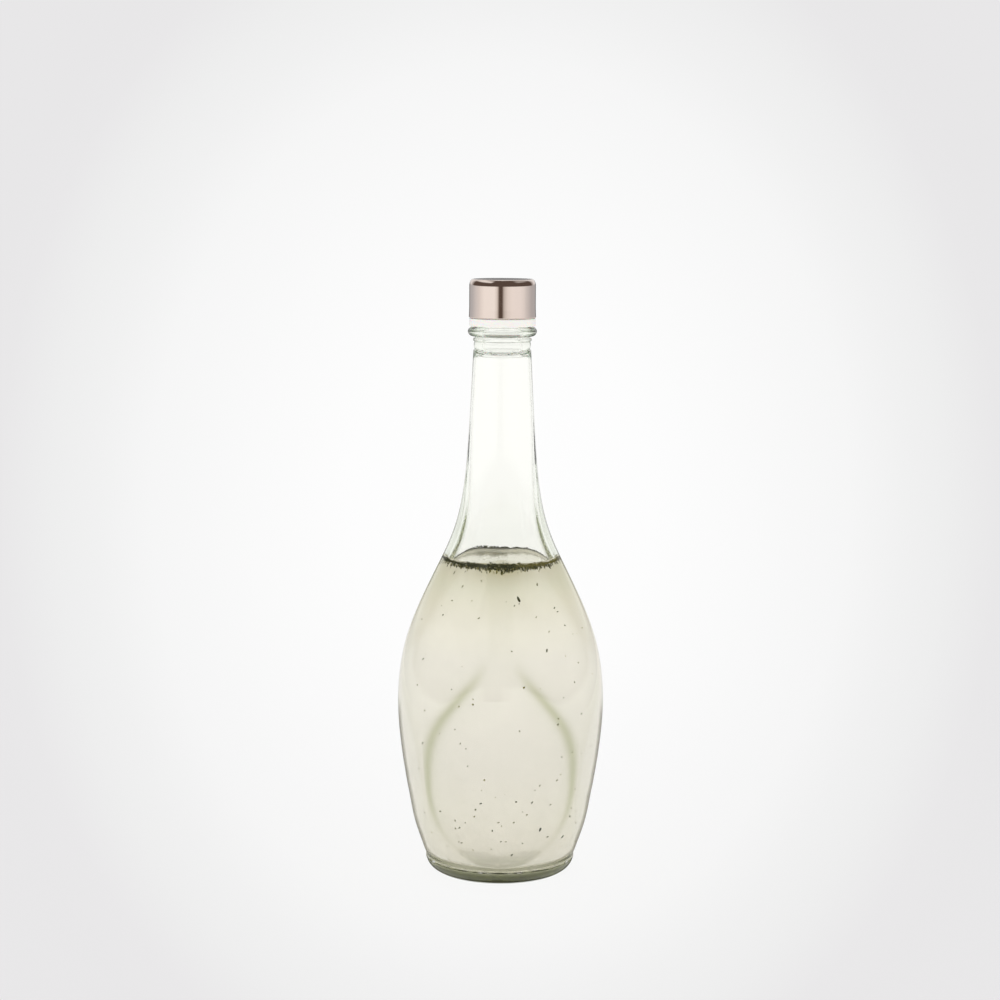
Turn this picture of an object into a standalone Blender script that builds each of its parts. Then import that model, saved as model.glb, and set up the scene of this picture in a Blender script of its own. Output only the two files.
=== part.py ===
"""Drink bottle: a clear glass bottle with a screw cap, filled with a cloudy herb drink.

The glass has an egg-shaped body and a long neck, moulded with eight faces. Four panels face +X, -X, +Y and
-Y: each is a narrow stem down the neck that swells into a teardrop on the body. Four lobes lie between them:
flatter on the neck, round on the shoulder, and running out where neighbouring teardrops meet. The cap is a
polished metal shell over a white plastic insert, with a soft seal disc inside. The drink stands in the glass
with a ring of chopped herbs floating along its edge.

Metres, +Z up. The origin is the middle of the standing ring, on the surface that the bottle stands on.
"""

from math import asin, cos, pi, radians, sin, sqrt, tau

import bmesh
import bpy
import numpy as np

MM = 0.001

# The cylinder that carries the thread and the lip. Its size sets the cap's and the neck's.
FINISH_RADIUS = 12.5 * MM
FINISH_HEIGHT = 17.8 * MM
FINISH_WALL = 3.2 * MM
LIP_ROUNDING = 1.0 * MM
MOUTH_RADIUS = FINISH_RADIUS - FINISH_WALL

# The cap, from the finish outwards. The thread isn't modelled here, but the cap leaves it room. Pieces that
# touch keep the gap.
GAP = 0.3 * MM
THREAD_DEPTH = 1.0 * MM
THREAD_CLEARANCE = 0.25 * MM
BEAD_CLEARANCE = 0.4 * MM
SEAL_THICKNESS = 1.5 * MM
INSERT_WALL = 0.8 * MM
INSERT_ROOF = 1.2 * MM
SHELL_WALL = 0.4 * MM
SHELL_RIM_WIDTH = 1.6 * MM
SHELL_RIM_HEIGHT = 3.2 * MM
SHELL_HEM = 0.3 * MM
FLANGE_HEIGHT = 3.5 * MM
FLANGE_EDGE = 0.3 * MM
BORE_RADIUS = FINISH_RADIUS + THREAD_DEPTH + THREAD_CLEARANCE
INSERT_RADIUS = BORE_RADIUS + INSERT_WALL
SHELL_RADIUS = INSERT_RADIUS + GAP + SHELL_WALL
INNER_RIM_WIDTH = SHELL_RIM_WIDTH - SHELL_WALL
INNER_RIM_HEIGHT = SHELL_RIM_HEIGHT - SHELL_WALL

# The round form that the eight faces are cut from: its heights and radii, at the ridges between the faces.
HEEL_ROUNDING = 7.2 * MM
HEEL_BAND_HEIGHT = 1.1 * MM
HEEL_RADIUS = 34.7 * MM
BODY_RADIUS = 50.3 * MM
NECK_STANDS_OUT = 0.8 * MM
NECK_RADIUS = FINISH_RADIUS + NECK_STANDS_OUT
NECK_TOP = 243.8 * MM
HEEL_TOP = HEEL_ROUNDING + HEEL_BAND_HEIGHT

# Its outline between the heel band and the neck's top: shares of that height, with shares of the way out
# from the neck's radius to the body's.
OUTLINE_SHARES = (
    (0.024, 0.677),
    (0.059, 0.797),
    (0.109, 0.898),
    (0.177, 0.972),
    (0.271, 1.000),
    (0.364, 0.931),
    (0.441, 0.816),
    (0.508, 0.649),
    (0.577, 0.435),
    (0.644, 0.247),
    (0.730, 0.119),
    (0.857, 0.049),
)

# The teardrop panels and their stems. The lower half of a teardrop is half an ellipse, and its sides touch
# the neighbouring teardrops at the widest height.
PANEL_ABOVE_HEEL = 0.4 * MM
PANEL_BOTTOM = HEEL_TOP + PANEL_ABOVE_HEEL
PANEL_WIDEST = 48.0 * MM
PANEL_NECKING = 111.0 * MM
PANEL_CROWN_RADIUS = 60.0 * MM
NECKING_POWER_SHARE = 1.5
STEM_HALF_WIDTH = 6.8 * MM
STEM_TOP_HALF_WIDTH = 5.4 * MM
STEM_ROUNDS_OVER = 35.0 * MM
RIDGE_SOFTNESS = 0.7 * MM

# The lobes: flattened above this height, and round below it by the time they reach the body.
LOBE_FLAT_ABOVE = 160.0 * MM
LOBE_ROUNDS_OVER = 42.0 * MM
LOBE_FLATNESS_SHARE = 0.5

# The wall. The bore of the neck is round, and further down the inside follows the outside.
WALL = 2.4 * MM
NECK_WALL = 2.1 * MM
BORE_ROUND_ABOVE = 165.0 * MM
BORE_FOLLOWS_OVER = 60.0 * MM
INSIDE_SOFTNESS = 5.0 * MM
INSIDE_CORNER = 7.0 * MM
BASE_THICKNESS = 4.8 * MM
PUNT_HEIGHT = 4.0 * MM
STANDING_WIDTH = 3.0 * MM

# Above the neck: step, bulging collar, small ring, groove and carrying bead, below the thread and the lip.
STEP_HEIGHT = 0.8 * MM
COLLAR_STANDS_OUT = 0.1 * MM
COLLAR_BULGE = 0.5 * MM
COLLAR_HEIGHT = 3.2 * MM
RING_STANDS_OUT = 0.8 * MM
RING_HEIGHT = 1.8 * MM
RING_BEVEL = 0.4 * MM
GROOVE_HEIGHT = 0.7 * MM
BEAD_STANDS_OUT = 0.6 * MM
BEAD_HEIGHT = 4.3 * MM
THROAT_TAPER = 14.0 * MM
COLLAR_RADIUS = FINISH_RADIUS + COLLAR_STANDS_OUT
RING_RADIUS = COLLAR_RADIUS + RING_STANDS_OUT
BEAD_RADIUS = SHELL_RADIUS + BEAD_STANDS_OUT
COLLAR_BASE = NECK_TOP + STEP_HEIGHT
RING_BASE = COLLAR_BASE + COLLAR_HEIGHT
RING_TOP = RING_BASE + RING_HEIGHT
BEAD_BASE = RING_TOP + GROOVE_HEIGHT
BEAD_TOP = BEAD_BASE + BEAD_HEIGHT
LIP_HEIGHT = BEAD_TOP + FINISH_HEIGHT

# The drink and the herbs that float along its edge.
DRINK_LEVEL = 146.5 * MM
HERB_RING_THICKNESS = 2.4 * MM
HERB_RING_WIDTH = 4.0 * MM
HERB_FLOAT_SHARE = 0.35

# How finely the surfaces are drawn. A quarter turn holds two half panels and two half lobes.
PANEL_COLUMNS = 3
LOBE_COLUMNS = 4
COLUMNS = 8 * (PANEL_COLUMNS + LOBE_COLUMNS)
SHARP_ANGLE = radians(35)
MERGE_WITHIN = 0.01 * MM
NARROWEST_PANEL_ANGLE = radians(9)
WIDEST_PANEL_ANGLE = radians(38)
HEEL_ZONE_SHARE = 0.33
HEEL_ROWS = 6
BODY_ROWS = 11
SHOULDER_ROWS = 8
NECK_ROWS = 4
INSIDE_ROWS = 11
THROAT_ROWS = 5
ARC_STEPS = 3
BEAD_STEPS = 5
FLOOR_ROWS = 3

COLOURS = {
    "glass": ((0.86, 0.93, 0.88), 0.02, 0.0),
    "drink": ((0.80, 0.78, 0.62), 0.35, 0.0),
    "herbs": ((0.10, 0.13, 0.05), 0.75, 0.0),
    "polished_metal": ((0.80, 0.74, 0.70), 0.12, 1.0),
    "white_plastic": ((0.88, 0.87, 0.85), 0.40, 0.0),
    "seal_foam": ((0.75, 0.75, 0.73), 0.70, 0.0),
}


def clear_scene():
    for thing in list(bpy.data.objects):
        bpy.data.objects.remove(thing, do_unlink=True)


def material(name):
    """A Principled material in one of the bottle's colours, made once."""
    if name in bpy.data.materials:
        return bpy.data.materials[name]
    colour, roughness, metallic = COLOURS[name]
    made = bpy.data.materials.new(name)
    made.use_nodes = True
    shader = made.node_tree.nodes["Principled BSDF"]
    shader.inputs["Base Color"].default_value = (*colour, 1.0)
    shader.inputs["Roughness"].default_value = roughness
    shader.inputs["Metallic"].default_value = metallic
    made.diffuse_color = (*colour, 1.0)
    return made


def smooth_step(value, start, length):
    """0 before start, 1 after start + length, and smooth between."""
    share = min(max((value - start) / length, 0.0), 1.0)
    return share * share * (3 - 2 * share)


def smooth_min(first, second, softness):
    """The smaller of two radii, rounded where they are nearly equal."""
    near = max(softness - abs(first - second), 0.0) / softness
    return min(first, second) - near * near * softness / 4


def smooth_curve(points):
    """A function for the natural cubic spline through points, each a height and a radius."""
    heights, radii = np.array(points).T
    steps = np.diff(heights)
    slopes = np.diff(radii) / steps
    bends = np.eye(len(points))
    right = np.zeros(len(points))
    for i in range(1, len(points) - 1):
        bends[i, i - 1 : i + 2] = steps[i - 1], 2 * (steps[i - 1] + steps[i]), steps[i]
        right[i] = 6 * (slopes[i] - slopes[i - 1])
    bend = np.linalg.solve(bends, right)

    def radius(height):
        i = min(max(int(np.searchsorted(heights, height)) - 1, 0), len(steps) - 1)
        above = (heights[i + 1] - height) / steps[i]
        below = 1 - above
        curve = (above**3 - above) * bend[i] + (below**3 - below) * bend[i + 1]
        return float(above * radii[i] + below * radii[i + 1] + curve * steps[i] ** 2 / 6)

    return radius


def outline_points():
    """The round form's outline as heights and radii, from the heel band to the neck's top."""
    height, width = NECK_TOP - HEEL_TOP, BODY_RADIUS - NECK_RADIUS
    between = [(HEEL_TOP + up * height, NECK_RADIUS + out * width) for up, out in OUTLINE_SHARES]
    return [(HEEL_TOP, HEEL_RADIUS), *between, (NECK_TOP, NECK_RADIUS)]


round_form = smooth_curve(outline_points())


def panel_half_width(height):
    """Half the width of a teardrop panel, or of its stem, at a height."""
    if height <= PANEL_BOTTOM:
        return 0.0
    widest = round_form(PANEL_WIDEST) * sin(pi / 4)
    if height < PANEL_WIDEST:
        drop = (PANEL_WIDEST - height) / (PANEL_WIDEST - PANEL_BOTTOM)
        return widest * sqrt(1 - drop * drop)
    narrowing = smooth_step(height, PANEL_NECKING, NECK_TOP - PANEL_NECKING)
    stem = STEM_HALF_WIDTH + (STEM_TOP_HALF_WIDTH - STEM_HALF_WIDTH) * narrowing
    rise = min((height - PANEL_WIDEST) / (PANEL_NECKING - PANEL_WIDEST), 1.0)
    return stem + (widest - stem) * (0.5 + 0.5 * cos(pi * rise**NECKING_POWER_SHARE))


def face_radius(distance, curvature, angle):
    """How far out a crowned face lies, at an angle from its middle line."""
    level = cos(angle)
    root = sqrt(max(level * level + 2 * curvature * distance * sin(angle) ** 2, 0.0))
    return 2 * distance / (level + root)


def ridge_angle(height):
    """The angle from a panel's middle line to the ridge beside it."""
    return asin(min(panel_half_width(height) / round_form(height), sin(pi / 4)))


def faces_at(height):
    """The distance and curvature of a panel and of a lobe at a height, so that they meet at the ridges."""
    radius = round_form(height)
    to_ridge = ridge_angle(height)
    half_width = radius * sin(to_ridge)
    stem_round = smooth_step(height, PANEL_NECKING, STEM_ROUNDS_OVER)
    panel_curvature = (1 - stem_round) / PANEL_CROWN_RADIUS + stem_round / radius
    lobe_flat = smooth_step(height, LOBE_FLAT_ABOVE - LOBE_ROUNDS_OVER, LOBE_ROUNDS_OVER)
    lobe_curvature = (1 - LOBE_FLATNESS_SHARE * lobe_flat) / radius
    lobe_angle = pi / 4 - to_ridge
    lobe_half_width = radius * sin(lobe_angle)
    panel = radius * cos(to_ridge) + panel_curvature * half_width**2 / 2
    lobe = radius * cos(lobe_angle) + lobe_curvature * lobe_half_width**2 / 2
    return panel, panel_curvature, lobe, lobe_curvature


def outside(angle, height, softness=RIDGE_SOFTNESS):
    """The glass's outer radius at an angle from +X, between the heel band and the neck's top."""
    panel, panel_curvature, lobe, lobe_curvature = faces_at(height)
    from_panel = abs((angle + pi / 4) % (pi / 2) - pi / 4)
    near = face_radius(panel, panel_curvature, from_panel)
    lobe_here = face_radius(lobe, lobe_curvature, pi / 4 - from_panel)
    beyond = face_radius(panel, panel_curvature, pi / 2 - from_panel)
    return smooth_min(smooth_min(near, lobe_here, softness), beyond, softness)


def inside(angle, height):
    """The glass's inner radius at an angle from +X, between the base's corner and the throat."""
    bore = faces_at(height)[2] - NECK_WALL
    following = outside(angle, height, INSIDE_SOFTNESS) - WALL
    roundness = smooth_step(height, BORE_ROUND_ABOVE - BORE_FOLLOWS_OVER, BORE_FOLLOWS_OVER)
    return following + (bore - following) * roundness


def evenly(start, end, steps):
    """Heights from start to end in equal steps, without the last."""
    return [start + (end - start) * i / steps for i in range(steps)]


def arc(centre, radius, start, end, steps, upright=1.0):
    """Points (out, up) along an arc in degrees, measured from straight out. upright stretches its height."""
    turns = [radians(start + (end - start) * i / steps) for i in range(steps + 1)]
    return [(centre[0] + radius * cos(a), centre[1] + radius * upright * sin(a)) for a in turns]


def column_angles(height):
    """The angles of a ring's points, all round. Some columns run along the ridges, which keeps them crisp."""
    ridge = ridge_angle(min(max(height, HEEL_TOP), NECK_TOP))
    ridge = min(max(ridge, NARROWEST_PANEL_ANGLE), WIDEST_PANEL_ANGLE)
    quarter = evenly(0, ridge, PANEL_COLUMNS)
    quarter += evenly(ridge, pi / 2 - ridge, 2 * LOBE_COLUMNS)
    quarter += evenly(pi / 2 - ridge, pi / 2, PANEL_COLUMNS)
    return [turn * pi / 2 + angle for turn in range(4) for angle in quarter]


def round_rings(points):
    """Rings of one radius all round, from points (out, up)."""
    return [(up, lambda angle, out=out: out) for out, up in points]


def loft(name, rings, colour):
    """A closed solid through rings that differ in form. A ring is a height and a function from the angle to
    the radius, and the first and last rings close on the axis."""
    shape = bmesh.new()
    loops = []
    for height, radius_at in rings:
        loop = []
        for angle in column_angles(height):
            out = radius_at(angle)
            loop.append(shape.verts.new((out * cos(angle), out * sin(angle), height)))
        loops.append(loop)
    for low, high in zip(loops, loops[1:]):
        for column in range(COLUMNS):
            after = (column + 1) % COLUMNS
            shape.faces.new((low[column], low[after], high[after], high[column]))
    for loop in (loops[0], loops[-1]):
        cap = shape.faces.new(loop)
        bmesh.ops.poke(shape, faces=[cap])
    bmesh.ops.recalc_face_normals(shape, faces=shape.faces[:])
    return add_mesh(name, shape, colour)


def add_mesh(name, shape, colour):
    """Turns a bmesh into an object with its material, shaded smooth but for its sharp edges."""
    mesh = bpy.data.meshes.new(name)
    shape.to_mesh(mesh)
    shape.free()
    mesh.materials.append(material(colour))
    mesh.shade_smooth()
    mesh.set_sharp_from_angle(angle=SHARP_ANGLE)
    thing = bpy.data.objects.new(name, mesh)
    parts.objects.link(thing)
    return thing


def turned(name, profile, colour):
    """A turned solid: a profile of points (out, up), from its top on the axis, down its outer side and back
    up inside, swept round the axis by a Screw modifier."""
    mesh = bpy.data.meshes.new(name)
    edges = [(i, i + 1) for i in range(len(profile) - 1)]
    mesh.from_pydata([(out, 0, up) for out, up in profile], edges, [])
    mesh.materials.append(material(colour))
    thing = bpy.data.objects.new(name, mesh)
    parts.objects.link(thing)
    sweep = thing.modifiers.new("turn", "SCREW")
    sweep.axis = "Z"
    sweep.angle = tau
    sweep.steps = COLUMNS
    sweep.render_steps = COLUMNS
    sweep.use_merge_vertices = True
    sweep.merge_threshold = MERGE_WITHIN
    sweep.use_smooth_shade = False
    return thing


def punt_rise(share):
    """How high the pushed-up base stands at a share of its radius: 1 in the middle, 0 at the edge."""
    return 0.5 + 0.5 * cos(pi * share)


def cavity_rings(shrink):
    """The glass's inner surface from the middle of its floor up to the drink's level, brought in by shrink."""
    corner = INSIDE_CORNER - shrink
    corner_height = BASE_THICKNESS + INSIDE_CORNER

    def corner_ring(across):
        def radius(angle):
            return inside(angle, corner_height) - INSIDE_CORNER + corner * across

        return radius

    def floor_ring(share):
        def radius(angle):
            return (inside(angle, corner_height) - INSIDE_CORNER) * share

        return radius

    def wall_ring(height):
        return lambda angle: inside(angle, height) - shrink

    rings = []
    for row in range(1, FLOOR_ROWS):
        share = row / FLOOR_ROWS
        height = BASE_THICKNESS + PUNT_HEIGHT * punt_rise(share) + shrink
        rings.append((height, floor_ring(share)))
    for across, down in arc((0, 0), 1, -90, 0, ARC_STEPS):
        rings.append((corner_height + corner * down, corner_ring(across)))
    rows = evenly(corner_height, DRINK_LEVEL, INSIDE_ROWS)[1:]
    return rings + [(height, wall_ring(height)) for height in rows]


def throat_rings():
    """The inner surface from the drink's level up the neck, and in to the mouth's bore."""

    def ring(height):
        def radius(angle):
            neck = inside(angle, min(height, NECK_TOP))
            taper = smooth_step(height, COLLAR_BASE - THROAT_TAPER, THROAT_TAPER)
            return neck + (MOUTH_RADIUS - neck) * taper

        return radius

    bare = evenly(DRINK_LEVEL, COLLAR_BASE - THROAT_TAPER, THROAT_ROWS)
    tapering = evenly(COLLAR_BASE - THROAT_TAPER, COLLAR_BASE, ARC_STEPS)
    return [(height, ring(height)) for height in bare + tapering + [COLLAR_BASE]]


def collar_points():
    """The groove, small ring and collar below the bead, from the top down."""
    collar_middle = COLLAR_BASE + COLLAR_HEIGHT / 2
    upright = COLLAR_HEIGHT / 2 / COLLAR_BULGE
    groove = [(COLLAR_RADIUS, BEAD_BASE), (COLLAR_RADIUS, RING_TOP)]
    ring = [(RING_RADIUS, RING_TOP - RING_BEVEL), (RING_RADIUS, RING_BASE + RING_BEVEL)]
    return groove + ring + arc((COLLAR_RADIUS, collar_middle), COLLAR_BULGE, 90, -90, ARC_STEPS, upright)


def finish_points():
    """The lip, thread zone, bead and what is below it, from the mouth's bore over the lip and down."""
    bead_middle = BEAD_BASE + BEAD_HEIGHT / 2
    bead_bulge = BEAD_HEIGHT / 2
    lip_centre = LIP_HEIGHT - LIP_ROUNDING
    inner_lip = arc((MOUTH_RADIUS + LIP_ROUNDING, lip_centre), LIP_ROUNDING, 180, 90, ARC_STEPS)
    outer_lip = arc((FINISH_RADIUS - LIP_ROUNDING, lip_centre), LIP_ROUNDING, 90, 0, ARC_STEPS)
    bead = arc((BEAD_RADIUS - bead_bulge, bead_middle), bead_bulge, 90, -90, BEAD_STEPS)
    return inner_lip + outer_lip + [(FINISH_RADIUS, BEAD_TOP)] + bead + collar_points()


def outside_rings():
    """The outer surface from the neck's top down to the heel band."""

    def ring(height):
        return lambda angle: outside(angle, height)

    shoulder_top = LOBE_FLAT_ABOVE + HEEL_TOP
    heel_zone = PANEL_BOTTOM + (PANEL_WIDEST - PANEL_BOTTOM) * HEEL_ZONE_SHARE
    rows = evenly(NECK_TOP, shoulder_top, NECK_ROWS)
    rows += evenly(shoulder_top, PANEL_NECKING, SHOULDER_ROWS)
    rows += evenly(PANEL_NECKING, heel_zone, BODY_ROWS)
    rows += evenly(heel_zone, HEEL_TOP, HEEL_ROWS)
    return [(height, ring(height)) for height in rows]


def base_points():
    """The heel band, the rounded heel, the flat standing ring and the pushed-up base."""
    standing_edge = HEEL_RADIUS - HEEL_ROUNDING
    punt_edge = standing_edge - STANDING_WIDTH
    heel = arc((standing_edge, HEEL_ROUNDING), HEEL_ROUNDING, 0, -90, ARC_STEPS)
    shares = [row / FLOOR_ROWS for row in range(FLOOR_ROWS, 0, -1)]
    punt = [(punt_edge * share, PUNT_HEIGHT * punt_rise(share)) for share in shares]
    return [(HEEL_RADIUS, HEEL_TOP)] + heel + punt


def make_glass():
    """One moulding, lofted from the middle of its floor up the inside, over the lip and down the outside."""
    rings = cavity_rings(0) + throat_rings() + round_rings(finish_points())
    rings += outside_rings() + round_rings(base_points())
    return loft("glass_bottle", rings, "glass")


def herb_ring_levels():
    """The underside and top of the floating herb ring. It sits partly in the drink."""
    top = DRINK_LEVEL + HERB_RING_THICKNESS * (1 - HERB_FLOAT_SHARE)
    return top - HERB_RING_THICKNESS, top


def make_drink():
    """The drink fills the glass to its level. Its edge steps down under the floating herbs."""
    under, _ = herb_ring_levels()
    step = under - GAP

    def ring(height, inward):
        return lambda angle: inside(angle, height) - inward

    rings = [ring_here for ring_here in cavity_rings(GAP) if ring_here[0] < step - GAP]
    rings.append((step, ring(step, GAP)))
    rings.append((step, ring(step, GAP + HERB_RING_WIDTH + GAP)))
    rings.append((DRINK_LEVEL, ring(DRINK_LEVEL, GAP + HERB_RING_WIDTH + GAP)))
    return loft("drink", rings, "drink")


def make_herb_ring():
    """Chopped herbs that float as a ring along the glass, as one solid with a square section."""
    under, top = herb_ring_levels()
    shape = bmesh.new()
    corners = ((GAP, under), (GAP, top), (GAP + HERB_RING_WIDTH, top), (GAP + HERB_RING_WIDTH, under))
    loops = []
    for angle in column_angles(DRINK_LEVEL):
        loop = []
        for inward, height in corners:
            out = inside(angle, height) - inward
            loop.append(shape.verts.new((out * cos(angle), out * sin(angle), height)))
        loops.append(loop)
    for here, after in zip(loops, loops[1:] + loops[:1]):
        for i in range(len(corners)):
            j = (i + 1) % len(corners)
            shape.faces.new((here[i], here[j], after[j], after[i]))
    bmesh.ops.recalc_face_normals(shape, faces=shape.faces[:])
    return add_mesh("herb_ring", shape, "herbs")


def make_seal_disc():
    """A soft disc that the cap presses on the lip. Heights are above the lip."""
    edge = BORE_RADIUS - GAP
    top = GAP + SEAL_THICKNESS
    return turned("seal_disc", [(0, top), (edge, top), (edge, GAP), (0, GAP)], "seal_foam")


def rim(side, top, width, height):
    """The rounded rim of a cup, as points from its top down to its side. It is taller than wide."""
    return arc((side - width, top - height), width, 90, 0, ARC_STEPS, height / width)


def make_cap_insert():
    """The plastic screw insert: a cup over the finish, with a flange that shows below the shell."""
    ceiling = GAP + SEAL_THICKNESS + GAP
    top = ceiling + INSERT_ROOF
    flange_base = BEAD_TOP + BEAD_CLEARANCE - LIP_HEIGHT
    flange_top = flange_base + FLANGE_HEIGHT
    profile = [
        (0, top),
        *rim(INSERT_RADIUS, top, INNER_RIM_WIDTH, INNER_RIM_HEIGHT),
        (INSERT_RADIUS, flange_top),
        (SHELL_RADIUS - FLANGE_EDGE, flange_top),
        (SHELL_RADIUS, flange_top - FLANGE_EDGE),
        (SHELL_RADIUS, flange_base + FLANGE_EDGE),
        (SHELL_RADIUS - FLANGE_EDGE, flange_base),
        (BORE_RADIUS, flange_base),
        (BORE_RADIUS, ceiling),
        (0, ceiling),
    ]
    return turned("cap_insert", profile, "white_plastic")


def make_cap_shell():
    """The drawn metal shell: a thin cup with a rounded rim and a slightly flared hem."""
    ceiling = GAP + SEAL_THICKNESS + GAP + INSERT_ROOF + GAP
    top = ceiling + SHELL_WALL
    hem = BEAD_TOP + BEAD_CLEARANCE + FLANGE_HEIGHT + GAP - LIP_HEIGHT
    inner = SHELL_RADIUS - SHELL_WALL
    profile = [
        (0, top),
        *rim(SHELL_RADIUS, top, SHELL_RIM_WIDTH, SHELL_RIM_HEIGHT),
        (SHELL_RADIUS, hem + SHELL_WALL),
        (SHELL_RADIUS + SHELL_HEM, hem),
        (inner + SHELL_HEM, hem),
        (inner, hem + SHELL_WALL),
        *reversed(rim(inner, ceiling, INNER_RIM_WIDTH, INNER_RIM_HEIGHT)),
        (0, ceiling),
    ]
    return turned("cap_shell", profile, "polished_metal")


def hang_on(parent, things):
    """Parents things to an empty. They were modelled from its own place."""
    for thing in things:
        thing.parent = parent


def joint_point(name, height):
    """An empty on the bottle's axis, where the cap's pieces hang."""
    point = bpy.data.objects.new(name, None)
    point.empty_display_size = SHELL_RADIUS
    point.location.z = height
    parts.objects.link(point)
    return point


clear_scene()
parts = bpy.data.collections.new("drink_bottle")
bpy.context.scene.collection.children.link(parts)

make_glass()
make_drink()
make_herb_ring()

# The whole cap rises with the seal disc, and the shell and insert also turn.
cap_rises = joint_point("cap_rises_here", LIP_HEIGHT)
cap_turns = joint_point("cap_turns_here", 0)
hang_on(cap_rises, [make_seal_disc(), cap_turns])
hang_on(cap_turns, [make_cap_insert(), make_cap_shell()])
bpy.context.view_layer.update()
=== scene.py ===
# %% [markdown]
# # A drink bottle with a screw cap
#
# The object is a clear glass bottle, almost 28 cm high, filled with a cloudy herb drink and closed with a
# polished metal cap. It has six pieces: the glass, the drink, the ring of chopped herbs that floats on it,
# the cap's metal shell, its white plastic insert and a soft seal disc under the insert's roof. A measured
# model of the bottle says where each piece is and how the cap moves. This script loads it as a fixed frame,
# makes the pieces again with finer forms, and gives them materials, light and a camera.

# %% Load the measured model
from math import asin, cos, degrees, pi, radians, sin, sqrt, tau

import bmesh
import bpy
import numpy as np
from mathutils import Matrix, Vector


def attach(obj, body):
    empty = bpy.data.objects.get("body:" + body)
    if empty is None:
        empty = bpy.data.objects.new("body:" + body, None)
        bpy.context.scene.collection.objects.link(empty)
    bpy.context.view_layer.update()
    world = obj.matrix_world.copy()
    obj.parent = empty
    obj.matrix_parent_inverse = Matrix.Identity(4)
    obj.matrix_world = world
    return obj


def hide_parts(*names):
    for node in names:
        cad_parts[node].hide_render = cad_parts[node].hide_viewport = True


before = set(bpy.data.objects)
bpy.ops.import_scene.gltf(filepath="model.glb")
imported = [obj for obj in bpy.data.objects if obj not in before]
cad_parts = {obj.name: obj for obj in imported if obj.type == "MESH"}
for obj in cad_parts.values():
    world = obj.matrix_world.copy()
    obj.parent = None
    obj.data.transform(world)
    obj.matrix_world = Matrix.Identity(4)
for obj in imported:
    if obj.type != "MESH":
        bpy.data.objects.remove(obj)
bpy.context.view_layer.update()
MM = 0.001

# %% [markdown]
# ## Colours and nodes
#
# Colours are easiest to choose as hex values, the way a screen shows them. Light adds up in linear values,
# so one function turns every hex colour into those. Each material is a small graph of nodes, and a second
# function adds one node at a time with its settings and its links. Both are used for every finish below.

# %% Small helpers


def linear(colour):
    """An sRGB hex colour as linear red, green, blue and an alpha of 1."""
    shares = [int(colour[i : i + 2], 16) / 255 for i in (1, 3, 5)]
    light = [s / 12.92 if s <= 0.04045 else ((s + 0.055) / 1.055) ** 2.4 for s in shares]
    return (*light, 1.0)


def add_node(tree, kind, inputs=None, stops=(), **settings):
    """Adds a shader node. settings are its own fields. inputs are values for its sockets, or what they link
    to: a socket, or a node for its first output in use. stops are the places and colours of a ramp."""
    node = tree.nodes.new("ShaderNode" + kind)
    for name, value in settings.items():
        setattr(node, name, value)
    for i, (share, colour) in enumerate(stops):
        stop = node.color_ramp.elements[i] if i < 2 else node.color_ramp.elements.new(share)
        stop.position = share
        stop.color = linear(colour)
    for name, value in (inputs or {}).items():
        if isinstance(value, bpy.types.Node):
            value = next(output for output in value.outputs if output.enabled)
        if isinstance(value, bpy.types.NodeSocket):
            tree.links.new(value, node.inputs[name])
        else:
            node.inputs[name].default_value = value
    return node


def empty_material(name):
    """A material with no nodes yet, and its node tree."""
    material = bpy.data.materials.new(name)
    material.use_nodes = True
    material.node_tree.nodes.clear()
    return material, material.node_tree


print("white is", linear("#FFFFFF")[:3], "and mid grey is", round(linear("#808080")[0], 3))

# %% [markdown]
# ## Where the camera stands
#
# The bottle was photographed from a little over a metre away, from just above its cap, looking slightly
# down. A long lens keeps its sides almost parallel, and the camera leans sideways by a third of a degree.
# Its place, tilt and focal length come from matching the bottle's outline, so a point of the model falls
# where the same point is in the photograph.

# %% Camera
CAMERA_PLACE = Vector((-0.0007, -1.1262, 0.3186))
LOOKS_DOWN = radians(7.3)
CAMERA_ROLL = radians(0.29)
FOCAL_LENGTH_MM = 88.2
SENSOR_WIDTH_MM = 36.0

camera_data = bpy.data.cameras.new("camera")
camera_data.lens = FOCAL_LENGTH_MM
camera_data.sensor_width = SENSOR_WIDTH_MM
camera = bpy.data.objects.new("camera", camera_data)
camera.location = CAMERA_PLACE
tilt = Matrix.Rotation(pi / 2 - LOOKS_DOWN, 3, "X")
roll = Matrix.Rotation(CAMERA_ROLL, 3, "Z")
camera.rotation_euler = (tilt @ roll).to_euler()
bpy.context.scene.collection.objects.link(camera)
bpy.context.scene.camera = camera
print("camera is", round(CAMERA_PLACE.length, 3), "m from the bottle's foot")

# %% [markdown]
# ## The form of the bottle
#
# A bottle like this is blown into a mould with eight faces. Four panels are narrow stems down the neck that
# swell into teardrops on the body, and four lobes lie between them. One could push and pull a cylinder into
# that shape by hand. Here the faces follow rules instead: a smooth curve gives the round form, each face is
# a shallow crowned plane cut from it, and the panel's half width says where neighbouring faces meet in a
# ridge. Rules keep all four panels alike and can be drawn as finely as the light on them needs.

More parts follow.
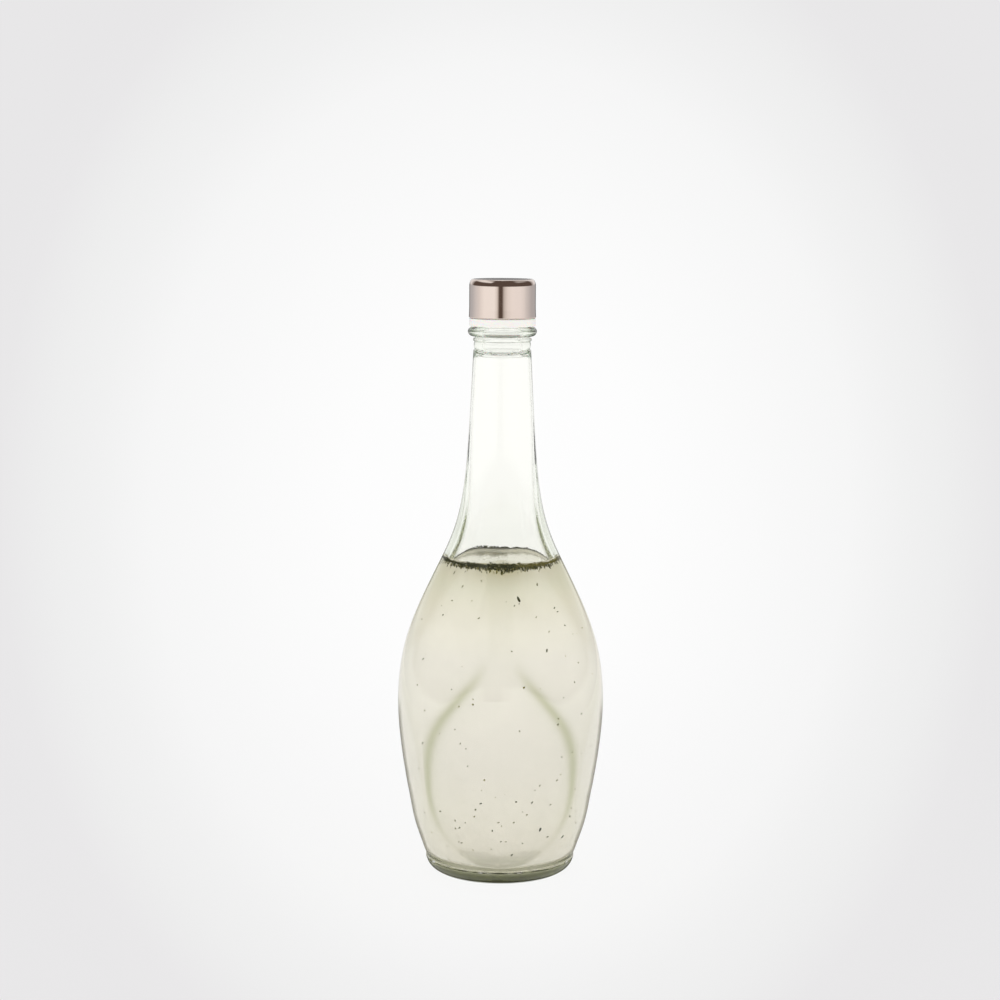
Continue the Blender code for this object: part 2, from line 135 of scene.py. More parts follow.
# %% Sizes of the glass
HEEL_ROUNDING = 7.2 * MM
HEEL_TOP = 8.3 * MM
HEEL_RADIUS = 34.7 * MM
BODY_RADIUS = 50.3 * MM
NECK_RADIUS = 13.3 * MM
NECK_TOP = 243.8 * MM
OUTLINE_SHARES = (
    (0.024, 0.677), (0.059, 0.797), (0.109, 0.898), (0.177, 0.972),
    (0.271, 1.000), (0.364, 0.931), (0.441, 0.816), (0.508, 0.649),
    (0.577, 0.435), (0.644, 0.247), (0.730, 0.119), (0.857, 0.049),
)
PANEL_BOTTOM = 8.7 * MM
PANEL_WIDEST = 48.0 * MM
PANEL_NECKING = 111.0 * MM
PANEL_CROWN_RADIUS = 60.0 * MM
STEM_HALF_WIDTH = 6.8 * MM
STEM_TOP_HALF_WIDTH = 5.4 * MM
STEM_ROUNDS_OVER = 35.0 * MM
RIDGE_SOFTNESS = 0.7 * MM
LOBE_FLAT_ABOVE = 160.0 * MM
LOBE_ROUNDS_OVER = 42.0 * MM
LOBE_FLATNESS_SHARE = 0.5
WALL = 2.4 * MM
NECK_WALL = 2.1 * MM
NECK_WALL_AT_TOP = 0.9 * MM
NECK_THINS_ABOVE = 155.0 * MM
NECK_THINS_OVER = 60.0 * MM
BORE_ROUND_ABOVE = 165.0 * MM
BORE_FOLLOWS_OVER = 60.0 * MM
INSIDE_SOFTNESS = 5.0 * MM
INSIDE_CORNER = 3.5 * MM
BASE_THICKNESS = 3.2 * MM
PUNT_HEIGHT = 4.0 * MM
STANDING_WIDTH = 3.0 * MM
DRINK_LEVEL = 146.5 * MM
print("panels are widest", PANEL_WIDEST / MM, "mm up, and the drink stands at", DRINK_LEVEL / MM, "mm")

# %% Curves that the faces follow


def smooth_step(value, start, length):
    """0 before start, 1 after start + length, and smooth between."""
    share = np.clip((value - start) / length, 0.0, 1.0)
    return share * share * (3 - 2 * share)


def smooth_min(first, second, softness):
    """The smaller of two radii, rounded where they are nearly equal."""
    near = np.maximum(softness - np.abs(first - second), 0.0) / softness
    return np.minimum(first, second) - near * near * softness / 4


def smooth_curve(points):
    """A function for the natural cubic spline through points, each a height and a radius."""
    heights, radii = np.array(points).T
    steps = np.diff(heights)
    slopes = np.diff(radii) / steps
    bends = np.eye(len(points))
    right = np.zeros(len(points))
    for i in range(1, len(points) - 1):
        bends[i, i - 1 : i + 2] = steps[i - 1], 2 * (steps[i - 1] + steps[i]), steps[i]
        right[i] = 6 * (slopes[i] - slopes[i - 1])
    bend = np.linalg.solve(bends, right)

    def radius(height):
        i = min(max(int(np.searchsorted(heights, height)) - 1, 0), len(steps) - 1)
        above = (heights[i + 1] - height) / steps[i]
        below = 1 - above
        curve = (above**3 - above) * bend[i] + (below**3 - below) * bend[i + 1]
        return float(above * radii[i] + below * radii[i + 1] + curve * steps[i] ** 2 / 6)

    return radius


outline = [(HEEL_TOP, HEEL_RADIUS)]
for up, out in OUTLINE_SHARES:
    height = HEEL_TOP + up * (NECK_TOP - HEEL_TOP)
    outline.append((height, NECK_RADIUS + out * (BODY_RADIUS - NECK_RADIUS)))
outline.append((NECK_TOP, NECK_RADIUS))
round_form = smooth_curve(outline)
print("radius at the widest height:", round(round_form(PANEL_WIDEST) / MM, 1), "mm")

# %% The eight faces


def panel_half_width(height):
    """Half the width of a teardrop panel, or of its stem, at a height."""
    if height <= PANEL_BOTTOM:
        return 0.0
    widest = round_form(PANEL_WIDEST) * sin(pi / 4)
    if height < PANEL_WIDEST:
        drop = (PANEL_WIDEST - height) / (PANEL_WIDEST - PANEL_BOTTOM)
        return widest * sqrt(1 - drop * drop)
    narrowing = float(smooth_step(height, PANEL_NECKING, NECK_TOP - PANEL_NECKING))
    stem = STEM_HALF_WIDTH + (STEM_TOP_HALF_WIDTH - STEM_HALF_WIDTH) * narrowing
    rise = min((height - PANEL_WIDEST) / (PANEL_NECKING - PANEL_WIDEST), 1.0)
    return stem + (widest - stem) * (0.5 + 0.5 * cos(pi * rise**1.5))


def ridge_angle(height):
    """The angle from a panel's middle line to the ridge beside it."""
    return asin(min(panel_half_width(height) / round_form(height), sin(pi / 4)))


def face_radius(distance, curvature, angle):
    """How far out a crowned face lies, at an angle from its middle line."""
    level = np.cos(angle)
    root = np.sqrt(np.maximum(level * level + 2 * curvature * distance * np.sin(angle) ** 2, 0.0))
    return 2 * distance / (level + root)


def faces_at(height):
    """The distance and curvature of a panel and of a lobe at a height, so that they meet at the ridges."""
    radius = round_form(height)
    to_ridge = ridge_angle(height)
    half_width = radius * sin(to_ridge)
    stem_round = float(smooth_step(height, PANEL_NECKING, STEM_ROUNDS_OVER))
    panel_curvature = (1 - stem_round) / PANEL_CROWN_RADIUS + stem_round / radius
    lobe_flat = float(smooth_step(height, LOBE_FLAT_ABOVE - LOBE_ROUNDS_OVER, LOBE_ROUNDS_OVER))
    lobe_curvature = (1 - LOBE_FLATNESS_SHARE * lobe_flat) / radius
    lobe_half_width = radius * sin(pi / 4 - to_ridge)
    panel = radius * cos(to_ridge) + panel_curvature * half_width**2 / 2
    lobe = radius * cos(pi / 4 - to_ridge) + lobe_curvature * lobe_half_width**2 / 2
    return panel, panel_curvature, lobe, lobe_curvature


def outside(angle, height, softness=RIDGE_SOFTNESS):
    """The glass's outer radius at angles from +X, between the heel band and the neck's top."""
    panel, panel_curvature, lobe, lobe_curvature = faces_at(height)
    from_panel = np.abs((angle + pi / 4) % (pi / 2) - pi / 4)
    near = face_radius(panel, panel_curvature, from_panel)
    lobe_here = face_radius(lobe, lobe_curvature, pi / 4 - from_panel)
    beyond = face_radius(panel, panel_curvature, pi / 2 - from_panel)
    return smooth_min(smooth_min(near, lobe_here, softness), beyond, softness)


def inside(angle, height):
    """The glass's inner radius at angles from +X. It follows the faces, but is round at the neck's foot."""
    bore = faces_at(height)[2] - NECK_WALL
    following = outside(angle, height, INSIDE_SOFTNESS) - WALL
    roundness = smooth_step(height, BORE_ROUND_ABOVE - BORE_FOLLOWS_OVER, BORE_FOLLOWS_OVER)
    lower = following + (bore - following) * roundness
    thin_wall = outside(angle, height) - NECK_WALL_AT_TOP
    return lower + (thin_wall - lower) * smooth_step(height, NECK_THINS_ABOVE, NECK_THINS_OVER)


print("outer radius at half height:", round(float(outside(0.0, NECK_TOP / 2)) / MM, 1), "mm")

# %% [markdown]
# ## Skinning rings
#
# Glass, drink and cap are all closed solids whose sections are rings round one axis. A lathe, or Blender's
# Screw modifier, would do for the cap but not for eight faces. So one function lays a skin over rings of any
# form, closes its two ends on the axis, and smooths the shading. The columns of the bottle's rings crowd
# along the ridges, because that is where the surface turns fastest and the light shows each facet.

# %% Points of a ring
PANEL_COLUMNS = 16
LOBE_COLUMNS = 20


def bottle_angles(height):
    """The angles of a ring's points, crowded near the ridges."""
    ridge = ridge_angle(min(max(height, HEEL_TOP), NECK_TOP))
    ridge = min(max(ridge, radians(9)), radians(38))
    across = np.arange(PANEL_COLUMNS) / PANEL_COLUMNS
    panel = ridge * (1 - (1 - across) ** 1.5)
    along = np.arange(LOBE_COLUMNS) / LOBE_COLUMNS
    lobe = ridge + (pi / 2 - 2 * ridge) * (0.35 * along + 0.65 * along * along * (3 - 2 * along))
    mirrored = pi / 2 - ridge * (1 - across**1.5)
    quarter = np.concatenate([panel, lobe, mirrored])
    return np.concatenate([turn * pi / 2 + quarter for turn in range(4)])


def even_angles(columns):
    """Evenly spaced angles all round."""
    return np.arange(columns) * tau / columns


def ring_points(angles, radii, heights):
    """The points of a ring. radii and heights are single values or one for each angle."""
    radii = np.broadcast_to(radii, angles.shape)
    heights = np.broadcast_to(heights, angles.shape)
    return np.column_stack([radii * np.cos(angles), radii * np.sin(angles), heights])


print("a ring of the bottle has", len(bottle_angles(PANEL_WIDEST)), "points")

# %% Skin over rings


def add_piece(mesh, material):
    """Gives a mesh its material and puts it in the scene, as an object of the mesh's name."""
    mesh.materials.append(material)
    piece = bpy.data.objects.new(mesh.name, mesh)
    bpy.context.scene.collection.objects.link(piece)
    return piece


def store_on_points(mesh, name, values):
    """Keeps a number for each point of a mesh, which a material can read by its name."""
    mesh.attributes.new(name, "FLOAT", "POINT").data.foreach_set("value", values)


def skin(name, rings, material):
    """A closed, smooth-shaded solid through rings of equally many points. Its ends close on the axis."""
    columns = len(rings[0])
    points = np.concatenate(rings)
    ends = [(0.0, 0.0, float(rings[i][:, 2].mean())) for i in (0, -1)]
    first_end, last_end = len(points), len(points) + 1
    faces = []
    for row in range(len(rings) - 1):
        low, high = row * columns, (row + 1) * columns
        for column in range(columns):
            after = (column + 1) % columns
            faces.append((low + column, low + after, high + after, high + column))
    last = (len(rings) - 1) * columns
    for column in range(columns):
        after = (column + 1) % columns
        faces.append((first_end, after, column))
        faces.append((last_end, last + column, last + after))
    mesh = bpy.data.meshes.new(name)
    mesh.from_pydata([*points.tolist(), *ends], [], faces)
    shape = bmesh.new()
    shape.from_mesh(mesh)
    bmesh.ops.recalc_face_normals(shape, faces=shape.faces[:])
    shape.to_mesh(mesh)
    shape.free()
    mesh.shade_smooth()
    print(name, "has", len(mesh.polygons), "faces")
    return add_piece(mesh, material)


print("a quarter of a ring has", PANEL_COLUMNS, "+", LOBE_COLUMNS, "+", PANEL_COLUMNS, "columns")

# %% Turned and rounded profiles
TURNED_COLUMNS = 192
GUARD_SHARE = 1.4


def turned_rings(profile):
    """Round rings from a profile of (out, up) points."""
    angles = even_angles(TURNED_COLUMNS)
    return [ring_points(angles, out, up) for out, up in profile if out > 0]


def rounded(corners, steps=6):
    """A profile of (out, up) points from corners (out, up, cut). Each corner is rounded over its cut. A guard
    point just before and after it keeps the smooth shading from spreading over the straight parts."""
    points = []
    for i, (out, up, cut) in enumerate(corners):
        here = np.array((out, up))
        if cut == 0 or i in (0, len(corners) - 1):
            points.append(tuple(here))
            continue
        back = np.array(corners[i - 1][:2]) - here
        on = np.array(corners[i + 1][:2]) - here
        back = back / np.linalg.norm(back) * cut
        on = on / np.linalg.norm(on) * cut
        points.append(tuple(here + back * GUARD_SHARE))
        for share in np.linspace(0, 1, steps + 1):
            points.append(tuple(here + back * (1 - share) ** 2 + on * share**2))
        points.append(tuple(here + on * GUARD_SHARE))
    return points


print("a corner rounded in 6 steps has", len(rounded([(1, 0, 0), (1, 1, 0.1), (0, 1, 0)])) - 2, "points")

# %% [markdown]
# ## Bottle glass
#
# Bottles are soda-lime glass, pressed and blown in a mould. It bends light by 1.52, its fire-polished skin
# is almost perfectly smooth, and a trace of iron makes it green where one looks through much of it, as in
# the foot. That is an absorbing volume, which colours thick places and leaves thin walls clear. The mould
# leaves slow waves in the skin, a few hundredths of a millimetre deep and a centimetre or two apart, that
# make reflections wander. Lamps reach through the wall, so shadow rays meet a clear shader instead.
#
# Clear glass looks darker where one looks along the wall. Above the drink a Layer Weight node paints that
# as painted shade on the edges, and the drink hides it lower down.

# %% Soda-lime glass
GLASS_IOR = 1.52
WAVE_SPACING_MM = 16.0
WAVE_DEPTH_MM = 0.04
CLEAR_BELOW = 0.8 * DRINK_LEVEL


def clear_for_lamps(tree, shader, colour):
    """The shader, which shadow rays pass with a slight tint only, so that lamps reach what is behind it."""
    veil = add_node(tree, "BsdfTransparent", {"Color": linear(colour)})
    light_path = add_node(tree, "LightPath")
    return add_node(tree, "MixShader", {0: light_path.outputs["Is Shadow Ray"], 1: shader, 2: veil})


glass_material, tree = empty_material("soda_lime_glass")
place = add_node(tree, "TexCoord")
waves = add_node(
    tree, "TexNoise",
    {"Vector": place.outputs["Object"], "Scale": 1 / (WAVE_SPACING_MM * MM), "Detail": 2.0},
    noise_dimensions="3D",
)
wavy = add_node(tree, "Bump", {"Height": waves, "Distance": WAVE_DEPTH_MM * MM, "Strength": 1.0})
# Painted shade: the ramp darkens bands along the lower ridges and stems, and makes the foot dark olive,
# partly the real green of its thick glass.
shade_and_green = add_node(tree, "Attribute", attribute_name="green_and_painted_shade")
tint_and_painted_shade = add_node(
    tree, "ValToRGB", {"Fac": shade_and_green.outputs["Fac"]}, ((0.0, "#FFFFFF"), (0.5, "#C0C5A8"), (1.0, "#4C5234"))
)
# Painted shade: the glass's edges, where one looks along the wall, are darkened above the drink.
edge_on = add_node(tree, "LayerWeight", {"Blend": 0.5})
painted_edge_shade = add_node(
    tree, "ValToRGB",
    {"Fac": edge_on.outputs["Facing"]},
    ((0.0, "#FFFFFF"), (0.68, "#FFFFFF"), (1.0, "#7E8276")),
)
height_of = add_node(tree, "SeparateXYZ", {"Vector": place.outputs["Object"]})
above_drink = add_node(
    tree, "MapRange",
    {"Value": height_of.outputs["Z"], "From Min": CLEAR_BELOW, "From Max": DRINK_LEVEL},
    interpolation_type="SMOOTHSTEP",
)
# Sockets 0, 6 and 7 of a Mix node of colours are its factor and its two colours.
tint_and_painted_edges = add_node(
    tree, "Mix", {0: above_drink, 6: tint_and_painted_shade, 7: painted_edge_shade}, data_type="RGBA", blend_type="MULTIPLY"
)
glass = add_node(
    tree, "BsdfPrincipled",
    {"Base Color": tint_and_painted_edges, "Transmission Weight": 1.0, "Roughness": 0.0, "IOR": GLASS_IOR, "Normal": wavy},
)
iron = add_node(tree, "VolumeAbsorption", {"Color": linear("#B4C8A8"), "Density": 14.0})
add_node(tree, "OutputMaterial", {"Surface": clear_for_lamps(tree, glass, "#FCFDFC"), "Volume": iron})
print("waves every", WAVE_SPACING_MM, "mm")

# %% [markdown]
# ## The glass
#
# The moulding is lofted in one go: from the middle of its floor up the inside, over the lip and down the
# outside to the pushed-up base. Above the neck come a collar, a small ring, the carrying bead and the
# thread. The thread is a raised ridge that winds one and a half turns round the finish. So it is added to
# the radius where it passes, and it shows when the cap is lifted.
#
# The floor here is thinner than in the measured model, because that is how the bright line at the bottle's
# foot comes to lie as low as it does in the photograph.

# %% Sizes of the finish
FINISH_RADIUS = 12.5 * MM
MOUTH_RADIUS = 9.3 * MM
LIP_HEIGHT = 272.4 * MM
LIP_ROUNDING = 1.0 * MM
COLLAR_RADIUS = 12.6 * MM
COLLAR_BULGE = 0.5 * MM
COLLAR_BASE = 244.6 * MM
RING_BASE = 247.8 * MM
RING_TOP = 249.6 * MM
RING_RADIUS = 13.4 * MM
BEAD_BASE = 250.3 * MM
BEAD_TOP = 254.6 * MM
BEAD_RADIUS = 15.85 * MM
THROAT_TAPER = 3.5 * MM
THREAD_PITCH = 4.2 * MM
THREAD_TURNS = 1.5
THREAD_DEPTH = 0.95 * MM
THREAD_HALF_WIDTH = 1.1 * MM
THREAD_START = 260.0 * MM
THREAD_FADE_TURNS = 0.08
EDGE_CUT = 0.25 * MM
EDGE_SLOPE = 0.3 * MM
SMALL_STEP = 0.1 * MM
print("the thread rises", THREAD_PITCH * THREAD_TURNS / MM, "mm")

# %% Thread and pushed-up base


def thread_height(angles, height):
    """How far the thread stands out at a height, for angles from +X."""
    standing = np.zeros_like(angles)
    for turn in (0, 1, 2):
        along = angles / tau + turn
        middle = THREAD_START + along * THREAD_PITCH
        ridge = np.clip(1.4 * (1 - np.abs(height - middle) / THREAD_HALF_WIDTH), 0.0, 1.0)
        fade_in = smooth_step(along, 0.0, THREAD_FADE_TURNS)
        fade_out = smooth_step(along, THREAD_TURNS - THREAD_FADE_TURNS, THREAD_FADE_TURNS)
        fade = fade_in * (1 - fade_out)
        standing = np.maximum(standing, ridge * ridge * (3 - 2 * ridge) * fade)
    return standing * THREAD_DEPTH


def punt_rise(share):
    """The pushed-up base's rise, from 1 in the middle to 0 at the full share of its radius."""
    return 0.5 + 0.5 * cos(pi * share)


print("the thread stands out", round(float(thread_height(np.array([pi]), 262.1 * MM)[0]) / MM, 2), "mm")

# %% Inside of the glass


def cavity_rings(grow):
    """The inner surface from the middle of its floor up to the drink's level, moved out by grow."""
    corner = INSIDE_CORNER + grow
    corner_height = BASE_THICKNESS + INSIDE_CORNER
    angles = bottle_angles(corner_height)
    floor = inside(angles, corner_height) - INSIDE_CORNER
    rings = []
    for share in np.linspace(0, 1, 15)[1:-1]:
        height = BASE_THICKNESS + PUNT_HEIGHT * punt_rise(share) - grow
        rings.append(ring_points(angles, floor * share, height))
    for turn in np.linspace(0, pi / 2, 13):
        rings.append(ring_points(angles, floor + corner * sin(turn), corner_height - corner * cos(turn)))
    for height in np.linspace(corner_height, DRINK_LEVEL, 91)[1:-1]:
        angles = bottle_angles(height)
        rings.append(ring_points(angles, inside(angles, height) + grow, height))
    return rings


def throat_rings():
    """The inner surface from the drink's level up the neck, and in to the mouth's bore."""
    rings = []
    for height in np.linspace(DRINK_LEVEL, COLLAR_BASE, 71):
        angles = bottle_angles(height)
        neck = inside(angles, min(height, NECK_TOP))
        taper = smooth_step(height, COLLAR_BASE - THROAT_TAPER, THROAT_TAPER)
        rings.append(ring_points(angles, neck + (MOUTH_RADIUS - neck) * taper, height))
    return rings


print("rings inside:", len(cavity_rings(0.0)) + len(throat_rings()))

# %% Finish, from the lip to the collar


def finish_rings():
    """The mouth's bore, lip, thread, bead, small ring and collar, from the inside over the lip and down."""
    angles = bottle_angles(NECK_TOP)
    profile = rounded(
        [
            (MOUTH_RADIUS, COLLAR_BASE + 2 * MM, 0),
            (MOUTH_RADIUS, LIP_HEIGHT, LIP_ROUNDING),
            (FINISH_RADIUS, LIP_HEIGHT, LIP_ROUNDING),
            (FINISH_RADIUS, LIP_HEIGHT - 2 * LIP_ROUNDING, 0),
        ]
    )
    rings = [ring_points(angles, out, up) for out, up in profile]
    for height in np.linspace(LIP_HEIGHT - 2.2 * MM, BEAD_TOP + 0.6 * MM, 70):
        rings.append(ring_points(angles, FINISH_RADIUS + thread_height(angles, height), height))
    bulge = (BEAD_TOP - BEAD_BASE) / 2
    bead = [
        (FINISH_RADIUS + 2 * SMALL_STEP, BEAD_TOP + SMALL_STEP),
        (FINISH_RADIUS + 6 * SMALL_STEP, BEAD_TOP),
    ]
    for turn in np.linspace(pi / 2, -pi / 2, 25):
        bead.append((BEAD_RADIUS - bulge + bulge * cos(turn), BEAD_BASE + bulge + bulge * sin(turn)))
    below = rounded(
        [
            (BEAD_RADIUS - bulge, BEAD_BASE, 0),
            (COLLAR_RADIUS, BEAD_BASE - SMALL_STEP, EDGE_CUT),
            (COLLAR_RADIUS, RING_TOP, 0.6 * EDGE_CUT),
            (RING_RADIUS, RING_TOP - EDGE_SLOPE, EDGE_CUT),
            (RING_RADIUS, RING_BASE + EDGE_SLOPE, EDGE_CUT),
            (COLLAR_RADIUS + SMALL_STEP / 2, RING_BASE, 0),
        ]
    )
    collar = []
    for turn in np.linspace(pi / 2, -pi / 2, 13):
        middle = (RING_BASE + COLLAR_BASE) / 2
        half = (RING_BASE - COLLAR_BASE) / 2
        collar.append((COLLAR_RADIUS + COLLAR_BULGE * cos(turn), middle + half * sin(turn)))
    return rings + [ring_points(angles, out, up) for out, up in bead + below[1:] + collar[:-1]]


print("rings of the finish:", len(finish_rings()))

# %% Outside and base
BODY_ROWS_TOP = 130.0 * MM
FOOT_ROWS_TOP = 24.0 * MM
BAND_DROPS_MM = (0.15, 1.2, 2.4)


def outside_rings():
    """The step below the collar and the eight faces, down to the heel band."""
    angles = bottle_angles(NECK_TOP)
    collar = ring_points(angles, COLLAR_RADIUS, COLLAR_BASE)
    neck = ring_points(angles, outside(angles, NECK_TOP), NECK_TOP)
    rings = [collar + (neck - collar) * share for share in (0.15, 0.5, 0.85)]
    heights = np.concatenate(
        [
            np.linspace(NECK_TOP, BODY_ROWS_TOP, 76)[:-1],
            np.linspace(BODY_ROWS_TOP, FOOT_ROWS_TOP, 100)[:-1],
            np.linspace(FOOT_ROWS_TOP, HEEL_TOP, 56),
        ]
    )
    for height in heights:
        angles = bottle_angles(height)
        rings.append(ring_points(angles, outside(angles, height), height))
    return rings


def base_rings():
    """The heel band, the rounded heel, the standing ring and the pushed-up base."""
    angles = bottle_angles(HEEL_TOP)
    edge = HEEL_RADIUS - HEEL_ROUNDING
    rings = [ring_points(angles, HEEL_RADIUS, HEEL_TOP - drop * MM) for drop in BAND_DROPS_MM]
    for turn in np.linspace(0, pi / 2, 17):
        rings.append(ring_points(angles, edge + HEEL_ROUNDING * cos(turn), HEEL_ROUNDING * (1 - sin(turn))))
    rings.append(ring_points(angles, edge - STANDING_WIDTH / 2, 0.0))
    for share in np.linspace(1, 0, 15)[:-1]:
        rings.append(ring_points(angles, (edge - STANDING_WIDTH) * share, PUNT_HEIGHT * punt_rise(share)))
    return rings


above_step = cavity_rings(0.0) + throat_rings() + finish_rings()
below_step = outside_rings() + base_rings()
glass_piece = skin("bottle_glass", above_step + below_step, glass_material)

# %% [markdown]
# ## Painted shade along the ridges, and the foot
#
# Along the lower ridges and the stems the glass gets bands of painted shade, and the foot is dark olive:
# partly the green of its thick glass and partly painted shade. Bent light would show such bands only
# faintly through a cloudy drink. One could paint them as an image. Here each point of the mesh gets a
# number, worked out from its height and its distance from the ridge, at full strength on the front and
# weaker on the other sides, and a ramp in the material turns that number into a tint.

# %% Painted shade along the ridges and in the foot
SHADE_BAND_INSIDE_RIDGE = 2.2 * MM
SHADE_BAND_HALF_WIDTH = 1.6 * MM
UPPER_SHADE_BAND_INSIDE_RIDGE = 0.5 * MM
UPPER_SHADE_BAND_HALF_WIDTH = 3.1 * MM
SHADE_BAND_SPREADS_ABOVE = 38.0 * MM
SHADE_BAND_SPREADS_OVER = 42.0 * MM
SHADE_BAND_BOTTOM = 10.0 * MM
SHADE_BAND_FULL = 48.0 * MM
SHADE_BAND_FADES = 88.0 * MM
SHADE_BAND_TOP = 112.0 * MM
STEM_START = 84.0 * MM
STEM_FULL = 110.0 * MM
STEM_INSIDE_RIDGE = 2.0 * MM
STEM_ENDS_FROM = 0.9 * DRINK_LEVEL
STEM_ENDS_OVER = 0.2 * DRINK_LEVEL
STEM_SHADE = 0.09
SIDE_SHADE_SHARE = 0.15
FOOT_FULL = 4.4 * MM
FOOT_TOP = 7.6 * MM


def green_and_painted_shade(ring):
    """Painted shade at a ring's points: 0 in the wall, 0.5 in a band by a ridge, 1 in the green, shaded foot.
    """
    height = float(ring[0, 2])
    radius = np.hypot(ring[:, 0], ring[:, 1])
    from_panel = np.abs((np.arctan2(ring[:, 1], ring[:, 0]) + pi / 4) % (pi / 2) - pi / 4)
    from_ridge = panel_half_width(height) - radius * np.sin(from_panel)
    spread = smooth_step(height, SHADE_BAND_SPREADS_ABOVE, SHADE_BAND_SPREADS_OVER)
    middle = SHADE_BAND_INSIDE_RIDGE + (UPPER_SHADE_BAND_INSIDE_RIDGE - SHADE_BAND_INSIDE_RIDGE) * spread
    half_width = SHADE_BAND_HALF_WIDTH + (UPPER_SHADE_BAND_HALF_WIDTH - SHADE_BAND_HALF_WIDTH) * spread
    across = (from_ridge - middle) / half_width
    lower = smooth_step(height, SHADE_BAND_BOTTOM, SHADE_BAND_FULL - SHADE_BAND_BOTTOM)
    upper = 1 - smooth_step(height, SHADE_BAND_FADES, SHADE_BAND_TOP - SHADE_BAND_FADES)
    stem = smooth_step(height, STEM_START, STEM_FULL - STEM_START)
    stem = stem * smooth_step(from_ridge, 0.0, STEM_INSIDE_RIDGE)
    stem = stem * (1 - smooth_step(height, STEM_ENDS_FROM, STEM_ENDS_OVER))
    foot = 1 - smooth_step(height, FOOT_FULL, FOOT_TOP - FOOT_FULL)
    # Painted shade bands along the ridges, at full strength only on the front, which faces the camera.
    ridge_shade = np.exp(-across * across) * lower * upper
    in_front = ring[:, 1] < -np.abs(ring[:, 0])
    ridge_shade = np.where(in_front, ridge_shade, SIDE_SHADE_SHARE * ridge_shade)
    return np.maximum(0.5 * np.maximum(ridge_shade, STEM_SHADE * stem), foot)


green_and_shade_values = [np.zeros(len(ring)) for ring in above_step]
green_and_shade_values += [green_and_painted_shade(ring) for ring in below_step]
green_and_shade_values = np.concatenate(green_and_shade_values)
shares = np.zeros(len(glass_piece.data.vertices))
shares[: len(green_and_shade_values)] = green_and_shade_values
store_on_points(glass_piece.data, "green_and_painted_shade", shares)
print("points in the seams:", int((shares > 0.25).sum()))
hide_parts("glass_bottle")
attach(glass_piece, "bottle")

# %% [markdown]
# ## The drink
#
# The drink is a cloudy herb infusion: water, with fine particles that scatter light. Clear water would be a
# transmitting shader alone, and milk a diffuse one. This is between the two, so part of the light passes
# with a slight blur and part is scattered back at the surface. It is a pale straw green, darker towards the
# bottom, and more olive just below its top in front, partly the tint of the steeping herbs and partly
# painted shade under the floating herbs. Water bends light by 1.33, and what is dissolved in it adds a trace.
#
# Its solid reaches a little into the glass. If it stopped short, a film of air would lie between them and
# mirror the light. At its top it climbs the wall in a small meniscus.

# %% Cloudy infusion
CLOUD_SIZE_MM = 12.0

drink_material, tree = empty_material("cloudy_herb_infusion")
place = add_node(tree, "TexCoord")
height_of = add_node(tree, "SeparateXYZ", {"Vector": place.outputs["Object"]})
depth_share = add_node(
    tree, "MapRange", {"Value": height_of.outputs["Z"], "From Min": 0.0, "From Max": DRINK_LEVEL}
)
# Darker towards the bottom. Near the top it is more olive, partly the herbs' tint and partly painted shade
# under them.
depth_tone_and_shade = add_node(
    tree, "ValToRGB",
    {"Fac": depth_share},
    (
        (0.0, "#C2C0AF"), (0.10, "#DED9CF"), (0.21, "#E5E1D8"), (0.40, "#E5E1DB"), (0.60, "#EDE9E3"),
        (0.72, "#F1EDE8"), (0.80, "#F3EFE6"), (0.88, "#E9E5D8"), (0.94, "#E2E0D2"),
        (0.975, "#DEDACC"), (0.995, "#E0DCCE"),
    ),
)
clouds = add_node(
    tree, "TexNoise", {"Vector": place.outputs["Object"], "Scale": 1 / (CLOUD_SIZE_MM * MM), "Detail": 3.0}
)
cloudy = add_node(tree, "Mix", {0: 0.06, 6: depth_tone_and_shade, 7: clouds}, data_type="RGBA", blend_type="MULTIPLY")
# More olive below the top in front: partly the steeping herbs' tint and partly painted shade under the
# floating herbs.
herb_tint_and_shade = add_node(tree, "Attribute", attribute_name="herb_tint_and_shade")
herb_tinted_and_shaded = add_node(
    tree, "Mix",
    {0: herb_tint_and_shade.outputs["Fac"], 6: cloudy, 7: linear("#A9A26C")},
    data_type="RGBA",
    blend_type="MULTIPLY",
)
drink = add_node(
    tree, "BsdfPrincipled",
    {"Base Color": herb_tinted_and_shaded, "Transmission Weight": 0.6, "Roughness": 0.12, "IOR": 1.34},
)
add_node(tree, "OutputMaterial", {"Surface": clear_for_lamps(tree, drink, "#F8F6EC")})
print("drink clouds are", CLOUD_SIZE_MM, "mm wide")

# %% Drink
DRINK_REACH = 0.12 * MM
MENISCUS_HEIGHT = 1.3 * MM
MENISCUS_WIDTH = 1.6 * MM
HERB_TINT_AND_SHADE_DEPTH = 6.5 * MM
HERB_TINT_AND_SHADE_WIDTH = radians(34)
TOP_RINGS_MM = (0.0, 0.15, 0.4, 0.8, 1.3, 2.0, 3.0, 4.5, 6.5, 10.0, 15.0, 20.0)


def drink_top_rings():
    """The meniscus and the level surface, from the wall to the middle."""
    rings = []
    angles = bottle_angles(DRINK_LEVEL)
    for inward in TOP_RINGS_MM:
        height = DRINK_LEVEL + MENISCUS_HEIGHT * np.exp(-inward * MM / MENISCUS_WIDTH)
        wall = inside(angles, height) + DRINK_REACH
        rings.append(ring_points(angles, wall - inward * MM, height))
    return rings


drink_rings = cavity_rings(DRINK_REACH) + drink_top_rings()
drink_piece = skin("drink_body", drink_rings, drink_material)
spots = np.concatenate(drink_rings)
